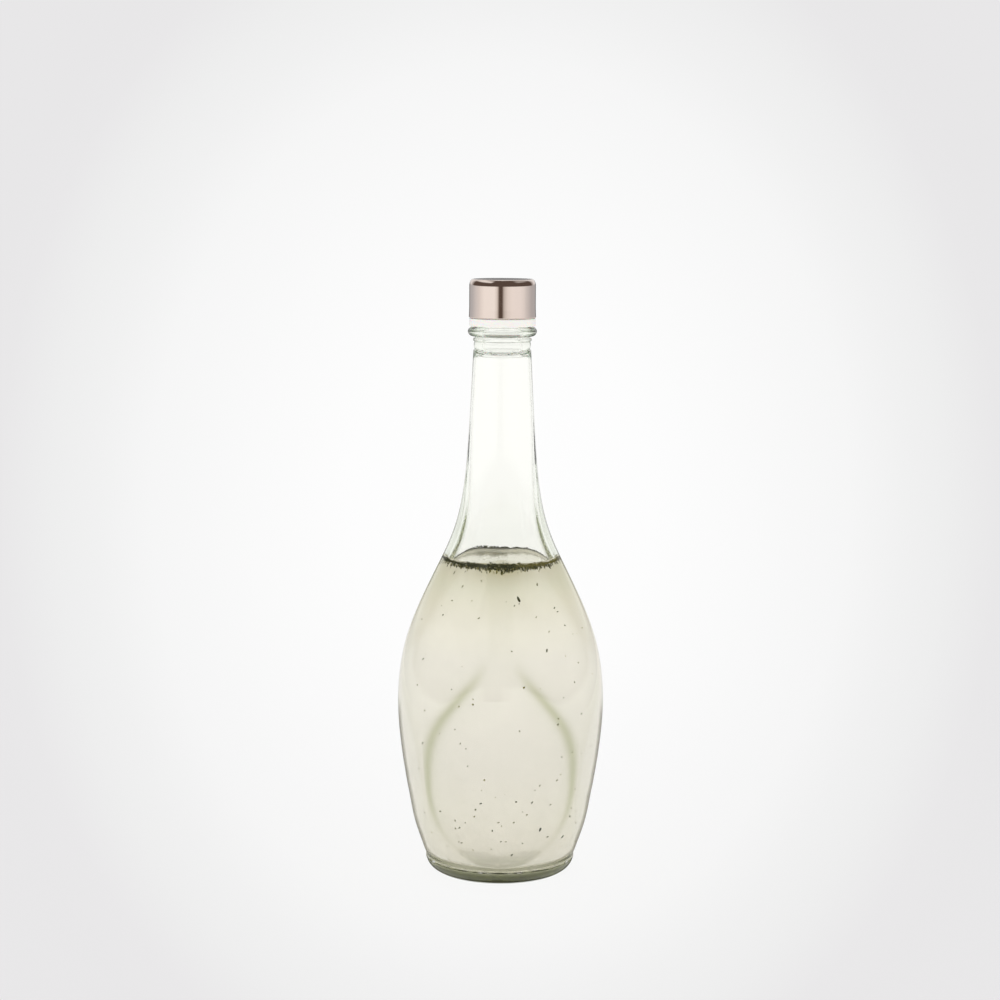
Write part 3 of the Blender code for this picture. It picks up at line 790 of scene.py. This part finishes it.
# A share for that olive, strongest just below the top in front: partly herb tint, partly painted shade.
depth = np.maximum(DRINK_LEVEL - spots[:, 2], 0.0)
from_front = np.arctan2(spots[:, 0], -spots[:, 1])
herb_tint_and_shade_shares = np.exp(-depth / HERB_TINT_AND_SHADE_DEPTH - (from_front / HERB_TINT_AND_SHADE_WIDTH) ** 2)
herb_tint_and_shade_shares = np.append(herb_tint_and_shade_shares, (0.0, 0.0))
store_on_points(drink_piece.data, "herb_tint_and_shade", herb_tint_and_shade_shares)
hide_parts("drink")
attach(drink_piece, "bottle")

# %% [markdown]
# ## Chopped herbs
#
# Wet chopped leaves float up and gather along the glass, where the meniscus holds them, and a few bits hang
# or drift below. Each bit is a thin, slightly crumpled flake a millimetre or two long. They could be
# scattered by geometry nodes. Plain code is used so that every flake can be turned to lie along the wall,
# and all flakes of one kind are joined in one mesh. A random tone stored on each flake varies its green.

# %% Wet leaf
CRUMPLE_MM = 0.4

leaf_material, tree = empty_material("wet_chopped_leaf")
tone = add_node(tree, "Attribute", attribute_name="leaf_tone")
greens = add_node(
    tree, "ValToRGB", {"Fac": tone.outputs["Fac"]}, ((0.0, "#20240C"), (0.6, "#3C3D14"), (1.0, "#7A7238"))
)
place = add_node(tree, "TexCoord")
crumple = add_node(tree, "TexNoise", {"Vector": place.outputs["Object"], "Scale": 1 / (CRUMPLE_MM * MM)})
crumpled = add_node(tree, "Bump", {"Height": crumple, "Distance": 0.05 * MM})
leaf = add_node(
    tree, "BsdfPrincipled", {"Base Color": greens, "Roughness": 0.45, "IOR": 1.45, "Normal": crumpled}
)
add_node(tree, "OutputMaterial", {"Surface": leaf})
print("leaf tones:", len(greens.color_ramp.elements))

# %% Flakes


def flake(middle, long_axis, wide_axis, length, width, green_and_shade_values, random):
    """The points and faces of one thin flake: a crumpled outline of eight points, closed above and below."""
    upright = np.cross(long_axis, wide_axis)
    points = []
    for i in range(8):
        turn = tau * i / 8
        reach = random.uniform(0.7, 1.0)
        lift = random.uniform(-0.8, 0.8) * green_and_shade_values
        along = long_axis * cos(turn) * length / 2 * reach
        across = wide_axis * sin(turn) * width / 2 * reach
        points.append(middle + along + across + upright * lift)
    points.append(middle + upright * green_and_shade_values)
    points.append(middle - upright * green_and_shade_values)
    faces = []
    for i in range(8):
        after = (i + 1) % 8
        faces.append((i, after, 8))
        faces.append((after, i, 9))
    return points, faces


def flakes_piece(name, flakes):
    """One mesh of many flakes. Each entry is points, faces and a tone."""
    points, faces, tones = [], [], []
    for own_points, own_faces, own_tone in flakes:
        start = len(points)
        points.extend(own_points)
        faces.extend(tuple(start + i for i in face) for face in own_faces)
        tones.extend([own_tone] * len(own_points))
    mesh = bpy.data.meshes.new(name)
    mesh.from_pydata([tuple(p) for p in points], [], faces)
    store_on_points(mesh, "leaf_tone", tones)
    mesh.shade_smooth()
    print(name, "has", len(flakes), "flakes")
    return add_piece(mesh, leaf_material)


def wall_axes(angle, height):
    """A place on the inside of the glass, and the directions out of the wall, round it and up along it."""
    radius = float(inside(angle, height))
    slope = (float(inside(angle, height + MM)) - radius) / MM
    level = np.array((cos(angle), sin(angle), 0.0))
    upright = np.array((0.0, 0.0, 1.0))
    up = (upright + level * slope) / sqrt(1 + slope * slope)
    out = (level - upright * slope) / sqrt(1 + slope * slope)
    return level * radius + upright * height, out, np.array((-sin(angle), cos(angle), 0.0)), up


# %% Flakes on the wall
FRONT = -pi / 2
AT_WALL = 0.17 * MM
FLAKE_THICKNESS = 0.04 * MM
LEANING = 0.9
SLENDER = (0.3, 0.6)
random = np.random.default_rng(7)


def wall_flake(angle, height, length, width, lean, inward=0.0):
    """A flake that lies along the wall. lean turns it from level to upright."""
    place, out, round_wall, up = wall_axes(angle, height)
    long_axis = round_wall * cos(lean) + up * sin(lean)
    wide_axis = np.cross(long_axis, out)
    middle = place + out * (AT_WALL - inward)
    return flake(middle, long_axis, wide_axis, length, width, FLAKE_THICKNESS, random)


def clump(from_middle):
    """How thick the ring is at an angle from its middle: ragged, and thinner towards the sides."""
    ragged = 0.2 * sin(9 * from_middle + 1.0) + 0.16 * sin(23 * from_middle) + 0.1 * sin(47 * from_middle)
    return max(0.55 + 0.6 * cos(from_middle) ** 6 + ragged, 0.15)


# %% Floating ring
RING_FLAKES = 2300
RING_SPREAD_MM = 0.5
RING_FLAKE_MM = (0.4, 1.4)
BACK_FLAKES = 1200
BACK_RISE_MM = 1.0
BACK_FLAKE_MM = (0.6, 1.6)
GATHERED_AT = 0.25
GATHERED_WIDTH = 0.35

ring_flakes = []
for _ in range(RING_FLAKES):
    from_front = random.uniform(-0.5, 0.5) * pi
    height = DRINK_LEVEL + (0.1 + random.normal(0, RING_SPREAD_MM) * clump(from_front)) * MM
    length = random.uniform(*RING_FLAKE_MM) * MM
    width = length * random.uniform(*SLENDER)
    lean = random.uniform(-LEANING, LEANING)
    bit = wall_flake(FRONT + from_front, height, length, width, lean)
    paler = 0.6 * smooth_step(from_front, 0.1, 0.3)
    ring_flakes.append((*bit, random.uniform(0, 0.5) + paler))
for _ in range(BACK_FLAKES):
    from_back = random.uniform(-0.5, 0.5) * pi
    gathered = np.exp(-(((from_back - GATHERED_AT) / GATHERED_WIDTH) ** 2))
    rise_mm = BACK_RISE_MM + 0.2 * gathered + random.normal(0, 0.3 + 0.35 * gathered)
    length = random.uniform(*BACK_FLAKE_MM) * MM
    width = length * random.uniform(*SLENDER)
    lean = random.uniform(-LEANING, LEANING)
    bit = wall_flake(FRONT + pi + from_back, DRINK_LEVEL + rise_mm * MM, length, width, lean, 2 * AT_WALL)
    ring_flakes.append((*bit, random.uniform(0, 0.6)))
print("flakes round the wall:", len(ring_flakes))

# %% Hanging flakes, and flakes on the surface
HANGING_FLAKES = 420
HANGING_FROM_MM = 0.7
HANGING_SPREAD_MM = 0.8
HANGING_FLAKE_MM = (0.8, 2.4)
SURFACE_FLAKES = 700
SURFACE_FLAKE_MM = (0.4, 1.1)
SURFACE_ASIDE_MM = (-4.0, 4.5)
SURFACE_FROM_WALL_MM = 1.5
SURFACE_SPREAD_MM = 9.0
FLOATS_ABOVE = 0.05 * MM

for _ in range(HANGING_FLAKES):
    from_front = random.normal(0, 0.8)
    drop_mm = HANGING_FROM_MM + abs(random.normal(0, HANGING_SPREAD_MM)) * clump(2 * from_front)
    length = random.uniform(*HANGING_FLAKE_MM) * MM
    width = length * random.uniform(0.2, 0.4)
    lean = random.normal(pi / 2, 0.4)
    bit = wall_flake(FRONT + from_front, DRINK_LEVEL - drop_mm * MM, length, width, lean)
    ring_flakes.append((*bit, random.uniform(0, 1)))
for _ in range(SURFACE_FLAKES):
    aside = random.normal(*SURFACE_ASIDE_MM) * MM
    from_wall = (SURFACE_FROM_WALL_MM + abs(random.normal(0, SURFACE_SPREAD_MM))) * MM
    middle = np.array((aside, float(inside(pi / 2, DRINK_LEVEL)) - from_wall, DRINK_LEVEL + FLOATS_ABOVE))
    turn = random.uniform(0, pi)
    long_axis = np.array((cos(turn), sin(turn), 0.0))
    wide_axis = np.array((-sin(turn), cos(turn), 0.0))
    length = random.uniform(*SURFACE_FLAKE_MM) * MM
    bit = flake(middle, long_axis, wide_axis, length, length * 0.5, FLAKE_THICKNESS, random)
    ring_flakes.append((*bit, random.uniform(0.3, 1.0)))
ring_piece = flakes_piece("floating_herbs", ring_flakes)
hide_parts("herb_ring")
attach(ring_piece, "bottle")

# %% [markdown]
# ## Loose bits in the drink
#
# A few dozen bits of herb stand out in the drink, and many paler ones fill in between. The ones that stand
# out are listed one by one, each by its angle from the front in degrees, its height and length in
# millimetres, its lean and its tone. The others are scattered, more of them low down, where bits settle.

# %% Loose herbs
NOTED_FLECKS = (
    (14, 132.6, 2.6, 1.9, 0.4), (44, 127.6, 1.3, 0.6, 0.35), (30, 110.1, 1.9, 1.4, 0.55),
    (-52, 142.3, 1.5, 1.5, 0.65), (-36, 137.2, 1.3, 1.2, 0.75), (-42, 130.7, 1.0, 0.3, 0.75),
    (-16, 124.4, 1.1, 0.6, 0.75), (34, 138.3, 1.4, 1.3, 0.75), (46, 125.9, 1.1, 0.2, 0.45),
    (26, 124.6, 0.9, 1.0, 0.75), (34, 118.1, 1.0, 0.8, 0.85), (-54, 103.9, 1.2, 0.8, 0.55),
    (-47, 66.8, 1.1, 0.9, 0.45), (-23, 68.9, 1.1, 1.2, 0.65), (-12, 40.9, 1.3, 0.4, 0.0),
    (20, 41.2, 1.3, 0.9, 0.35), (32, 39.5, 1.0, 0.3, 0.65), (24, 49.2, 1.0, 1.0, 0.65),
    (-51, 33.3, 1.2, 0.5, 0.35), (-39, 35.4, 1.2, 0.2, 0.65), (-27, 28.4, 1.1, 0.7, 0.65),
    (-1, 31.8, 1.0, 0.5, 0.75), (9, 31.8, 1.0, 0.9, 0.75), (27, 27.6, 2.0, 1.3, 0.0),
    (44, 23.1, 1.7, 0.9, 0.0), (33, 23.8, 1.2, 0.6, 0.55), (4, 22.4, 0.9, 0.2, 0.75),
    (-27, 21.0, 1.1, 0.4, 0.65), (9, 15.6, 1.4, 0.9, 0.35),
)
LOOSE_FLAKES = 210
LOOSE_FLAKE_MM = (0.5, 1.3)
SETTLED_SHARE = 0.4
SETTLED_MM = (9, 45)
DRIFTING_MM = (20, 142)

loose_flakes = []
for turned, up_mm, length_mm, lean, leaf_tone in NOTED_FLECKS:
    length = length_mm * MM
    bit = wall_flake(FRONT + radians(turned), up_mm * MM, length * 1.3, length * 0.55, lean)
    loose_flakes.append((*bit, leaf_tone))
for _ in range(LOOSE_FLAKES):
    angle = random.uniform(0, tau)
    settled = random.uniform() < SETTLED_SHARE
    height = random.uniform(*(SETTLED_MM if settled else DRIFTING_MM)) * MM
    length = random.uniform(*LOOSE_FLAKE_MM) * MM
    width = length * random.uniform(0.5, 0.9)
    bit = wall_flake(angle, height, length, width, random.uniform(0, pi))
    loose_flakes.append((*bit, random.uniform(0.5, 1.0)))
loose_piece = flakes_piece("loose_herbs", loose_flakes)
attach(loose_piece, "bottle")

# %% [markdown]
# ## The cap
#
# The cap is a drawn metal cup, polished and lacquered in a pale champagne tone, pressed over a white plastic
# insert that carries the thread. Its rim is rounded, and its open edge is rolled out slightly against the
# insert's flange. A lathe profile with rounded corners makes each of the three turned pieces. A metal's
# colour is the tint of its reflections, so the shader is fully metallic and almost smooth, and the polishing
# wheel leaves fine lines round the cup.

# %% Polished metal
POLISH_LINE_MM = 0.25
LINE_STRETCH = 40.0

metal_material, tree = empty_material("polished_lacquered_aluminium")
place = add_node(tree, "TexCoord")
stretched = add_node(
    tree, "Mapping",
    {"Vector": place.outputs["Object"], "Scale": (LINE_STRETCH, LINE_STRETCH, 1 / (POLISH_LINE_MM * MM))},
)
polish = add_node(tree, "TexNoise", {"Vector": stretched, "Scale": 1.0, "Detail": 2.0})
gloss = add_node(tree, "MapRange", {"Value": polish, "To Min": 0.035, "To Max": 0.06})
metal = add_node(
    tree, "BsdfPrincipled", {"Base Color": linear("#EEDFD5"), "Metallic": 1.0, "Roughness": gloss}
)
add_node(tree, "OutputMaterial", {"Surface": metal})
print("polishing lines every", POLISH_LINE_MM, "mm")

# %% Cap shell
CAP_TOP = 276.4 * MM
SHELL_RADIUS = 15.25 * MM
SHELL_WALL = 0.4 * MM
SHELL_HEM = 258.8 * MM
RIM_WIDTH = 1.6 * MM
RIM_HEIGHT = 3.2 * MM
HEM_FLARE = 0.16 * MM
HEM_FLARE_HEIGHT = 4.5 * MM
HEM_CUT = 0.1 * MM


def rim(side, top, width, height, steps=20):
    """The rounded rim of a cup, from its top down to its side. It is taller than wide."""
    turns = np.linspace(pi / 2, 0, steps)
    return [(side - width + width * cos(a), top - height + height * sin(a)) for a in turns]


inner = SHELL_RADIUS - SHELL_WALL
ceiling = CAP_TOP - SHELL_WALL
hem = rounded(
    [
        (SHELL_RADIUS, SHELL_HEM + HEM_FLARE_HEIGHT + 1.5 * MM, 0),
        (SHELL_RADIUS, SHELL_HEM + HEM_FLARE_HEIGHT, 8 * HEM_CUT),
        (SHELL_RADIUS + HEM_FLARE, SHELL_HEM + 2.5 * HEM_CUT, 1.2 * HEM_CUT),
        (SHELL_RADIUS + 0.6 * HEM_CUT, SHELL_HEM, HEM_CUT),
        (inner + HEM_CUT, SHELL_HEM, HEM_CUT),
        (inner, SHELL_HEM + 8 * HEM_CUT, 2 * HEM_CUT),
        (inner, SHELL_HEM + 3 * MM, 0),
    ]
)
shell_rim = rim(SHELL_RADIUS, CAP_TOP, RIM_WIDTH, RIM_HEIGHT)
inner_rim = rim(inner, ceiling, RIM_WIDTH - SHELL_WALL, RIM_HEIGHT - SHELL_WALL)
top_edge = [(SHELL_RADIUS - RIM_WIDTH - 0.3 * MM, CAP_TOP)]
shell_profile = top_edge + shell_rim + hem + inner_rim[::-1]
shell_piece = skin("cap_metal_shell", turned_rings(shell_profile), metal_material)
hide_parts("cap_shell")
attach(shell_piece, "cap")

# %% [markdown]
# ## Insert and seal
#
# The insert is injection-moulded polypropylene: white, slightly translucent and satin, with a soft
# highlight. The seal disc is a foamed sheet, which is why it yields against the lip. Its cells are about a
# third of a millimetre wide and only roughen it.

# %% White polypropylene and seal foam
GRAIN_MM = 0.6
CELL_MM = 0.35

plastic_material, tree = empty_material("moulded_polypropylene")
place = add_node(tree, "TexCoord")
grain = add_node(
    tree, "TexNoise", {"Vector": place.outputs["Object"], "Scale": 1 / (GRAIN_MM * MM), "Detail": 2.0}
)
grained = add_node(tree, "Bump", {"Height": grain, "Distance": 0.01 * MM})
plastic = add_node(
    tree, "BsdfPrincipled",
    {
        "Base Color": linear("#F6F3EE"), "Roughness": 0.38, "IOR": 1.49, "Subsurface Weight": 0.25,
        "Subsurface Scale": 2 * MM, "Normal": grained,
    },
)
add_node(tree, "OutputMaterial", {"Surface": plastic})

foam_material, tree = empty_material("polyethylene_foam")
place = add_node(tree, "TexCoord")
cells = add_node(tree, "TexVoronoi", {"Vector": place.outputs["Object"], "Scale": 1 / (CELL_MM * MM)})
celled = add_node(tree, "Bump", {"Height": cells, "Distance": 0.06 * MM})
foam = add_node(
    tree, "BsdfPrincipled", {"Base Color": linear("#E4E3DE"), "Roughness": 0.7, "Normal": celled}
)
add_node(tree, "OutputMaterial", {"Surface": foam})
print("insert and seal have their materials")

# %% Insert with its thread
INSERT_RADIUS = 14.55 * MM
BORE_RADIUS = 13.75 * MM
INSERT_TOP = 275.7 * MM
INSERT_CEILING = 274.5 * MM
INSERT_CUT = 0.1 * MM
GROOVE_SHARE = 0.25
FLANGE_BASE = 255.0 * MM
FLANGE_TOP = 258.5 * MM

insert_rim = rim(INSERT_RADIUS, INSERT_TOP, RIM_WIDTH - SHELL_WALL, RIM_HEIGHT - SHELL_WALL)
insert_outside = insert_rim + rounded(
    [
        (INSERT_RADIUS, FLANGE_TOP + 3 * MM, 0),
        (INSERT_RADIUS, FLANGE_TOP, INSERT_CUT),
        (SHELL_RADIUS, FLANGE_TOP, 3 * INSERT_CUT),
        (SHELL_RADIUS, FLANGE_BASE, 3.5 * INSERT_CUT),
        (BORE_RADIUS, FLANGE_BASE, 2 * INSERT_CUT),
        (BORE_RADIUS, FLANGE_BASE + 2 * MM, 0),
    ]
)
insert_angles = even_angles(TURNED_COLUMNS)
insert_rings = turned_rings(insert_outside)
for height in np.linspace(FLANGE_BASE + 2.1 * MM, INSERT_CEILING - 0.2 * MM, 64):
    groove = thread_height((insert_angles + pi) % tau, height - THREAD_PITCH / 2)
    insert_rings.append(ring_points(insert_angles, BORE_RADIUS - GROOVE_SHARE * groove, height))
insert_rings.append(ring_points(insert_angles, BORE_RADIUS - 0.3 * MM, INSERT_CEILING))
insert_piece = skin("cap_plastic_insert", insert_rings, plastic_material)
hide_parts("cap_insert")
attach(insert_piece, "cap")

# %% Seal disc
SEAL_RADIUS = 13.45 * MM
SEAL_BASE = 272.7 * MM
SEAL_TOP = 274.2 * MM
SEAL_CUT = 0.2 * MM
seal_profile = rounded(
    [
        (0.0, SEAL_TOP, 0),
        (SEAL_RADIUS, SEAL_TOP, SEAL_CUT),
        (SEAL_RADIUS, SEAL_BASE, SEAL_CUT),
        (0.0, SEAL_BASE, 0),
    ]
)
seal_piece = skin("seal_foam_disc", turned_rings(seal_profile), foam_material)
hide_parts("seal_disc")
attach(seal_piece, "seal")

# %% [markdown]
# ## Floor
#
# The bottle stands on a wide, pale sweep whose end can't be seen. A curved backdrop could do that. Here the
# floor is a large disc that lets most of the sight through to the pale background behind it, and keeps
# enough of its own shading near the bottle to hold a soft shadow. Right under the bottle's foot a dark disc
# is painted into the paper's colour as a painted shadow. White paper throws back nearly all the light that
# it gets, so the light from below comes from the background too.

# %% Pale sweep
FLOOR_RADIUS = 5.0
FLOOR_DROP = 0.0002
SHADOW_FULL = 0.15
SHADOW_RADIUS = 0.55
SHADOW_SHARE = 0.06
PAINTED_SHADOW_RADIUS = 0.027
PAINTED_SHADOW_EDGE = 0.003

floor_material, tree = empty_material("pale_paper_sweep")
place = add_node(tree, "NewGeometry")
from_axis = add_node(tree, "VectorMath", {0: place}, operation="LENGTH")
share = add_node(
    tree, "MapRange",
    {
        "Value": from_axis, "From Min": SHADOW_FULL, "From Max": SHADOW_RADIUS,
        "To Min": SHADOW_SHARE, "To Max": 0.0,
    },
    interpolation_type="SMOOTHSTEP",
)
# Painted shadow: a dark disc in the paper's colour, right under the bottle's foot.
painted_contact_shadow = add_node(
    tree, "MapRange",
    {
        "Value": from_axis, "From Min": PAINTED_SHADOW_RADIUS, "From Max": PAINTED_SHADOW_RADIUS + PAINTED_SHADOW_EDGE,
        "To Min": 1.0, "To Max": 0.0,
    },
    interpolation_type="SMOOTHSTEP",
)
shown = add_node(tree, "Math", {0: share, 1: painted_contact_shadow}, operation="MAXIMUM")
# The paper's colour, with the painted shadow under the foot.
paper_and_painted_shadow = add_node(
    tree, "Mix", {0: painted_contact_shadow, 6: linear("#F4F4F4"), 7: linear("#3A3C30")}, data_type="RGBA"
)
paper = add_node(tree, "BsdfDiffuse", {"Color": paper_and_painted_shadow})
through = add_node(tree, "BsdfTransparent")
sweep = add_node(tree, "MixShader", {0: shown, 1: through, 2: paper})
add_node(tree, "OutputMaterial", {"Surface": sweep})

disc = bmesh.new()
bmesh.ops.create_circle(disc, cap_ends=True, segments=96, radius=FLOOR_RADIUS)
floor_mesh = bpy.data.meshes.new("floor")
disc.to_mesh(floor_mesh)
disc.free()
floor = add_piece(floor_mesh, floor_material)
floor.location.z = -FLOOR_DROP
print("floor is", 2 * FLOOR_RADIUS, "m wide")

# %% [markdown]
# ## Light
#
# The photograph was lit by two long diffusing walls, left and right, and taken through the gap between them.
# One can read that off the cap: two bright fields that fade towards the back, and a narrow dark line where
# it mirrors the gap. Emissive planes would do. Here the walls are drawn in the world, by direction, because
# that is free of noise and lets one say how bright each direction is. Above the walls hang two broad lamps,
# the left one brighter, under a brown ceiling that turns pale at the back.
#
# A direction has an azimuth, from -180 to 180 degrees with 0 towards the camera and right positive, and an
# elevation. Both come from the world's own direction vector, so nothing depends on where the camera stands.

# %% Directions
world = bpy.data.worlds.new("studio")
bpy.context.scene.world = world
world.use_nodes = True
tree = world.node_tree
tree.nodes.clear()
towards = add_node(tree, "TexCoord").outputs["Generated"]
heading = add_node(tree, "SeparateXYZ", {"Vector": towards})
toward_camera = add_node(tree, "Math", {0: heading.outputs["Y"], 1: -1.0}, operation="MULTIPLY")
azimuth = add_node(tree, "Math", {0: heading.outputs["X"], 1: toward_camera}, operation="ARCTAN2")
azimuth_share = add_node(tree, "MapRange", {"Value": azimuth, "From Min": -pi, "From Max": pi})
elevation = add_node(tree, "Math", {0: heading.outputs["Z"]}, operation="ARCSINE")


def round_horizon(*stops):
    """A ramp round the horizon, from pairs of an azimuth in degrees and a colour."""
    shares = [((turned + 180) / 360, colour) for turned, colour in stops]
    return add_node(tree, "ValToRGB", {"Fac": azimuth_share}, shares)


def share_above(angle, edge):
    """A node that is 0 below an elevation and 1 from an edge's width above it."""
    span = {"From Min": angle, "From Max": angle + edge}
    return add_node(tree, "MapRange", {"Value": elevation, **span}, interpolation_type="SMOOTHSTEP")


print("world directions are ready")

# %% Walls of light
walls = round_horizon(
    (-180, "#2E2C2A"), (-166, "#3A3836"), (-157, "#A2A0A0"), (-148, "#B8B9BC"),
    (-130, "#BEC0C4"), (-118, "#CACBCE"), (-105, "#D8D8DA"), (-90, "#E4E2E2"),
    (-80, "#F0EEED"), (-66, "#FBFAF9"), (-28, "#FCFBFA"), (-20, "#E6E3E0"),
    (-16, "#C9C4BF"), (-13.5, "#8F8680"), (-11, "#5C5049"), (-6, "#584B44"),
    (-1, "#5C5049"), (1, "#8F8680"), (4, "#BDB8B4"), (9, "#D8D4D1"),
    (18, "#EDEAE8"), (33, "#F6F4F3"), (64, "#F4F2F2"), (80, "#EAE8E8"),
    (90, "#DAD9DA"), (104, "#CBCACC"), (117, "#BBBBBE"), (148, "#B4B4B7"),
    (157, "#A2A0A0"), (166, "#3A3836"), (180, "#2E2C2A"),
)
WALL_TOP = radians(1)
WALL_EDGE = radians(3.5)
above_walls = share_above(WALL_TOP, WALL_EDGE)
ceiling_glow = round_horizon(
    (-180, "#EDEDEE"), (-142, "#E6E6E7"), (-120, "#5A4E47"), (120, "#5A4E47"),
    (142, "#E6E6E7"), (180, "#EDEDEE"),
)
overhead = round_horizon(
    (-180, "#000000"), (-140, "#000000"), (-122, "#F0F0F0"), (-50, "#F0F0F0"),
    (-38, "#000000"), (50, "#000000"), (68, "#A0A0A0"), (108, "#A0A0A0"),
    (125, "#000000"), (180, "#000000"),
)
ceiling_share = add_node(tree, "MapRange", {"Value": elevation, "From Min": 0.0, "From Max": pi / 2})
lamp_height = add_node(
    tree, "ValToRGB",
    {"Fac": ceiling_share},
    ((0.0, "#000000"), (0.33, "#000000"), (0.45, "#FFFFFF"), (0.62, "#FFFFFF"), (0.74, "#000000")),
)
lamp = add_node(tree, "Mix", {0: 1.0, 6: overhead, 7: lamp_height}, data_type="RGBA", blend_type="MULTIPLY")
lit_ceiling = add_node(
    tree, "Mix", {0: 1.0, 6: ceiling_glow, 7: lamp}, data_type="RGBA", blend_type="SCREEN"
)
studio = add_node(tree, "Mix", {0: above_walls, 6: walls, 7: lit_ceiling}, data_type="RGBA")
print("walls have", len(walls.color_ramp.elements), "stops")

# %% [markdown]
# ## What lies low
#
# The paper sweep mirrors in the lower half of everything glossy. Beside it the room is dark, and the edges
# of clear glass mirror that as a thin dark line. So below the walls the world turns pale, and lower still it
# is dark behind the bottle's sides. That is drawn by elevation and azimuth again, over the walls.

# %% Sweep and the dark beside it
SWEEP_COLOUR = "#E4E3E1"
DARK_COLOUR = "#2E2C2A"
SWEEP_BELOW = radians(-3.5)
SWEEP_EDGE = radians(0.7)
DARK_BELOW = radians(-11)
DARK_EDGE = radians(2.5)

beside_sweep = round_horizon(
    (-180, DARK_COLOUR), (-158, DARK_COLOUR), (-150, SWEEP_COLOUR),
    (150, SWEEP_COLOUR), (158, DARK_COLOUR), (180, DARK_COLOUR),
)
above_dark = share_above(DARK_BELOW - DARK_EDGE, DARK_EDGE)
low_down = add_node(
    tree, "Mix", {0: above_dark, 6: beside_sweep, 7: linear(SWEEP_COLOUR)}, data_type="RGBA"
)
above_sweep = share_above(SWEEP_BELOW - SWEEP_EDGE, SWEEP_EDGE)
mirrored_studio = add_node(tree, "Mix", {0: above_sweep, 6: low_down, 7: studio}, data_type="RGBA")
print("the room is dark beside the sweep below", round(degrees(DARK_BELOW)), "degrees")

# %% [markdown]
# ## Background
#
# Straight behind the bottle the world is a white backdrop that falls off to a pale grey in the picture's
# corners. Through clear glass one sees the same white, a little brighter, so the neck stays as light as the
# backdrop. A ray's kind decides what it meets: the camera's own rays see the backdrop, bent rays see what is
# behind the glass, mirrored rays see the studio, and all others bring the plain fill light.

# %% Backdrop
FORWARD = (0.0, cos(LOOKS_DOWN), -sin(LOOKS_DOWN))
UPWARD = (0.0, sin(LOOKS_DOWN), cos(LOOKS_DOWN))
RIGHTWARD = (1.0, 0.0, 0.0)
UPWARD_SHARE = 0.8
BACKDROP_REACH = 0.22
BACKDROP_EDGE = "#E8E7E8"
LEAST_AHEAD = 0.2

ahead, aside, above = [
    add_node(tree, "VectorMath", {0: towards, 1: axis}, operation="DOT_PRODUCT")
    for axis in (FORWARD, RIGHTWARD, UPWARD)
]
sideways, upwards = [
    add_node(tree, "Math", {0: part, 1: ahead}, operation="DIVIDE")
    for part in (aside, above)
]
flat_upwards = add_node(tree, "Math", {0: upwards, 1: UPWARD_SHARE}, operation="MULTIPLY")
spread = add_node(tree, "CombineXYZ", {"X": sideways, "Y": flat_upwards})
off_centre = add_node(tree, "VectorMath", {0: spread}, operation="LENGTH")
falloff = add_node(tree, "MapRange", {"Value": off_centre, "From Min": 0.0, "From Max": BACKDROP_REACH})
backdrop = add_node(
    tree, "ValToRGB",
    {"Fac": falloff},
    (
        (0.0, "#FEFEFE"), (0.28, "#FDFDFD"), (0.46, "#FAFAFA"), (0.65, "#F6F6F6"), (0.75, "#F1F1F1"),
        (0.83, "#EEEEEE"), (0.93, "#E9E8E9"), (1.0, BACKDROP_EDGE),
    ),
)
in_front = add_node(tree, "Math", {0: ahead, 1: LEAST_AHEAD}, operation="GREATER_THAN")
pale = add_node(tree, "Mix", {0: in_front, 6: linear(BACKDROP_EDGE), 7: backdrop}, data_type="RGBA")
print("the backdrop falls off in", len(backdrop.color_ramp.elements), "stops")

# %% What clear glass shows
BACKDROP_GAIN = 1.05
behind = round_horizon(
    (-180, "#FFFFFA"), (-110, "#FFFFFA"), (-70, "#F0EEED"), (-18, "#EDEAE8"),
    (18, "#EDEAE8"), (70, "#F0EEED"), (110, "#FFFFFA"), (180, "#FFFFFA"),
)
bright_behind = add_node(tree, "VectorMath", {0: behind, "Scale": BACKDROP_GAIN}, operation="SCALE")
print("through the glass one sees", len(behind.color_ramp.elements), "stops of colour")

# %% What each kind of ray sees
FILL = "#FFFFFF"
FILL_STRENGTH = 1.1
WALLS_IN_FILL = 0.3

light_path = add_node(tree, "LightPath")
fill = add_node(tree, "Mix", {0: WALLS_IN_FILL, 6: linear(FILL), 7: walls}, data_type="RGBA")
bright_fill = add_node(tree, "VectorMath", {0: fill, "Scale": FILL_STRENGTH}, operation="SCALE")
mirrored = add_node(
    tree, "Mix",
    {0: light_path.outputs["Is Glossy Ray"], 6: bright_fill, 7: mirrored_studio},
    data_type="RGBA",
)
bent = add_node(
    tree, "Mix",
    {0: light_path.outputs["Is Transmission Ray"], 6: mirrored, 7: bright_behind},
    data_type="RGBA",
)
seen = add_node(tree, "Mix", {0: light_path.outputs["Is Camera Ray"], 6: bent, 7: pale}, data_type="RGBA")
shine = add_node(tree, "Background", {"Color": seen, "Strength": 1.0})
add_node(tree, "OutputWorld", {"Surface": shine})
print("fill light:", FILL)

# %% Picture settings
scene = bpy.context.scene
scene.view_settings.view_transform = "Standard"
scene.cycles.max_bounces = 24
scene.cycles.transmission_bounces = 20
scene.cycles.transparent_max_bounces = 24
scene.cycles.glossy_bounces = 24
